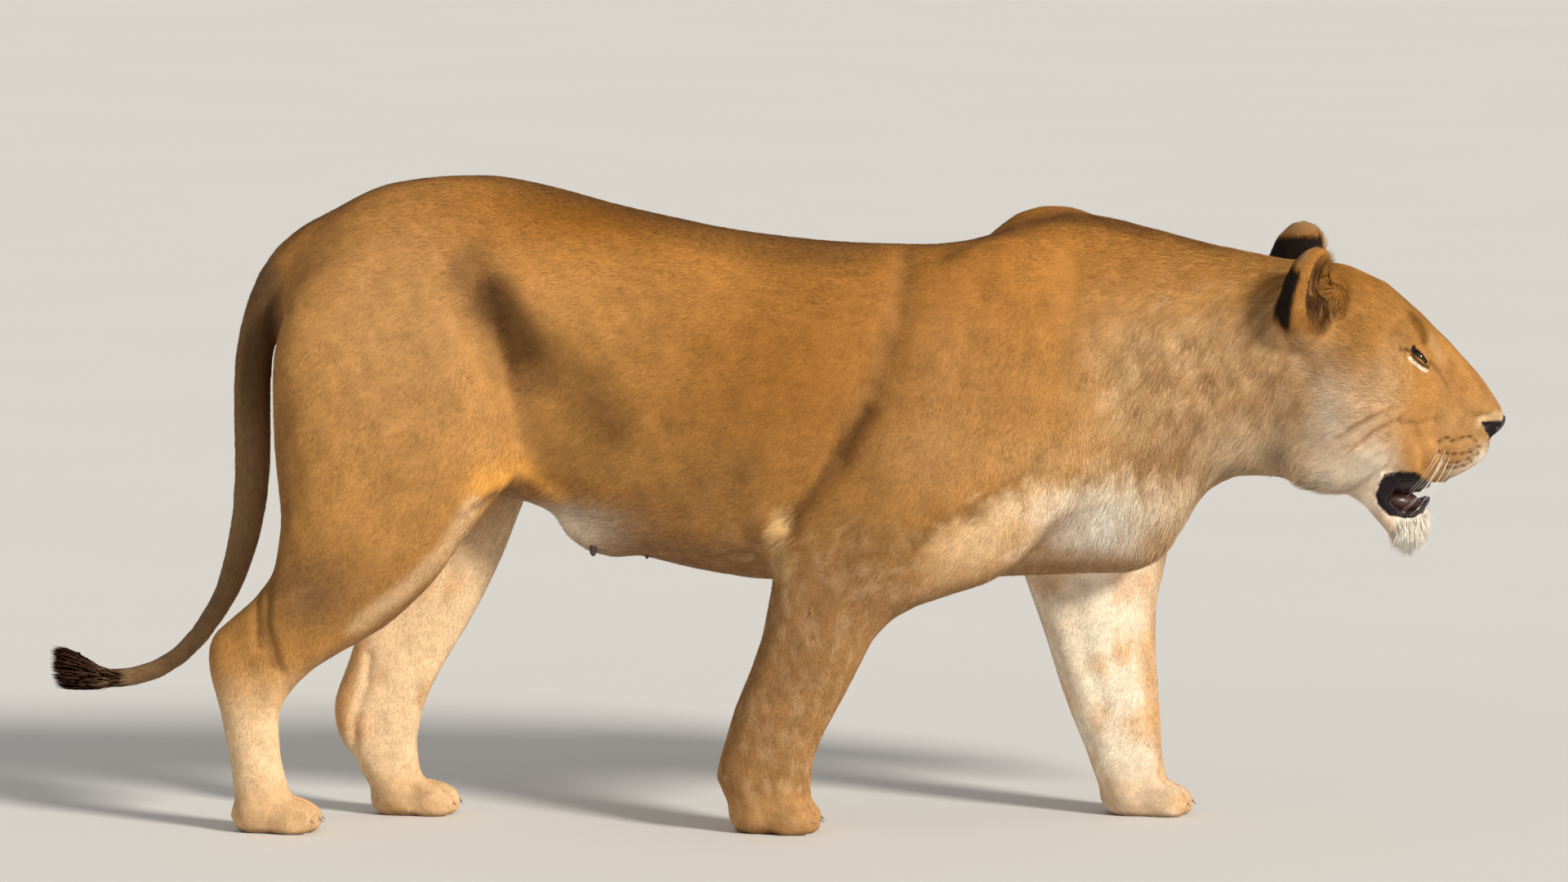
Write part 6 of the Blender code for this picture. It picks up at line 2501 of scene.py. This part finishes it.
@dataclass(frozen=True)
class Teats:
    """The four teats under the belly. The front pair is smaller."""

    places: tuple[Point, ...] = (
        (-0.268, -0.046, 0.376), (-0.262, 0.046, 0.376), (-0.190, -0.040, 0.362), (-0.186, 0.040, 0.362),
    )
    length: float = 0.015
    radius: float = 0.0052
    front_scale: float = 0.62
    rear_drop: float = 0.004
    finish: MoistFinish = MoistFinish(
        "teat_skin", (0.045, 0.028, 0.022), (0.12, 0.075, 0.055), 0.6, 0.0012, 0.0004
    )

    def build(self) -> None:
        """Makes and dresses the teats."""
        whole = bmesh.new()
        skin = bpy.data.objects["skin"]
        for place in self.places:
            bm = bmesh.new()
            bmesh.ops.create_uvsphere(bm, u_segments=16, v_segments=14, radius=1.0)
            for vert in bm.verts:
                swell = 1 + 0.35 * max(0.0, vert.co.z)
                vert.co.x *= swell
                vert.co.y *= swell
            found, at, _, _ = skin.closest_point_on_mesh(Vector(place))
            at = at if found else Vector(place)
            scale, drop = (1.0, self.rear_drop) if place[0] < -0.22 else (self.front_scale, 0.0)
            size = Matrix.Diagonal((scale * self.radius, scale * self.radius, scale * self.length / 1.6, 1.0))
            lowered = Matrix.Translation(at - Vector((0, 0, drop)))
            bmesh.ops.transform(bm, matrix=lowered @ size, verts=bm.verts)
            copy = poured(bm, "teat")
            whole.from_mesh(copy)
            bpy.data.meshes.remove(copy)
        mesh = poured(whole, "teats")
        mesh.shade_smooth()
        mesh.materials.append(self.finish.material())
        finished(new_object("teats", mesh), "coat")


# The studio


@dataclass(frozen=True)
class Studio:
    """A pale floor, soft light and the camera."""

    focus: Point = (0.0108, 0.0, 0.546)
    distance: float = 14.72
    elevation: float = math.radians(6)
    lens: float = 238.0
    sensor: float = 36.0
    floor_radius: float = 90.0
    floor_tone: float = 0.72
    sun_way: Point = (0.68, -0.66, 0.50)
    sun_power: float = 3.6
    sun_spread: float = math.radians(12)
    sun_colour: Rgb = (1.0, 0.935, 0.83)
    sky_colour: Rgb = (1.0, 0.975, 0.94)
    sky_power: float = 0.42

    def build(self) -> None:
        """Makes the floor, the lights and the camera."""
        self._floor()
        self._sky()
        sun = bpy.data.lights.new("key", "SUN")
        sun.energy, sun.angle, sun.color = self.sun_power, self.sun_spread, self.sun_colour
        self._aimed("key", sun, Vector(self.sun_way))
        lens = bpy.data.cameras.new("camera")
        lens.lens, lens.sensor_width = self.lens, self.sensor
        lens.clip_start, lens.clip_end = 0.5, 300.0
        back = Vector((0, -math.cos(self.elevation), math.sin(self.elevation)))
        camera = self._aimed("camera", lens, back)
        camera.location = Vector(self.focus) + back * self.distance
        bpy.context.scene.camera = camera
        bpy.context.scene.view_settings.view_transform = "Standard"

    def _floor(self) -> None:
        """Makes the round floor."""
        bm = bmesh.new()
        bmesh.ops.create_circle(bm, cap_ends=True, radius=self.floor_radius, segments=96)
        mesh = poured(bm, "floor")
        material, g, shader = principled("floor_paint", Roughness=0.9)
        tone = g.maths("MULTIPLY_ADD", g.noise(g.place(), 0.8), 0.02, self.floor_tone)
        colour = g.node("ShaderNodeCombineColor")
        g.feed(colour, Red=tone, Green=tone, Blue=g.maths("MULTIPLY", tone, 0.985))
        g.feed(shader, Base_Color=colour.outputs[0])
        mesh.materials.append(material)
        new_object("floor", mesh)

    def _sky(self) -> None:
        """Sets the light that comes from all round."""
        world = bpy.data.worlds.new("studio")
        world.use_nodes = True
        g = Graph(world.node_tree)
        g.feed(world.node_tree.nodes["Background"], Color=(*self.sky_colour, 1), Strength=self.sky_power)
        bpy.context.scene.world = world

    @staticmethod
    def _aimed(name: str, data: bpy.types.ID, back: Vector) -> bpy.types.Object:
        """A lamp or a camera with its back turned a given way."""
        obj = bpy.data.objects.new(name, data)
        obj.rotation_mode = "QUATERNION"
        obj.rotation_quaternion = back.to_track_quat("Z", "Y")
        bpy.context.scene.collection.objects.link(obj)
        return obj


def main() -> None:
    """Builds the lioness piece by piece, then the studio."""
    logging.basicConfig(level=logging.INFO, format="%(message)s", stream=sys.stdout, force=True)
    lie, markings = Lie(), Markings()
    skin = Skin(lie, markings).build()
    Eyes().build()
    for piece in ROUND_PIECES:
        piece.build()
    LowerLip().build()
    Teats().build()
    Coat(skin, lie, markings).build()
    Whiskers().build()
    Claws().build()
    Studio().build()


if __name__ == "__main__":
    main()
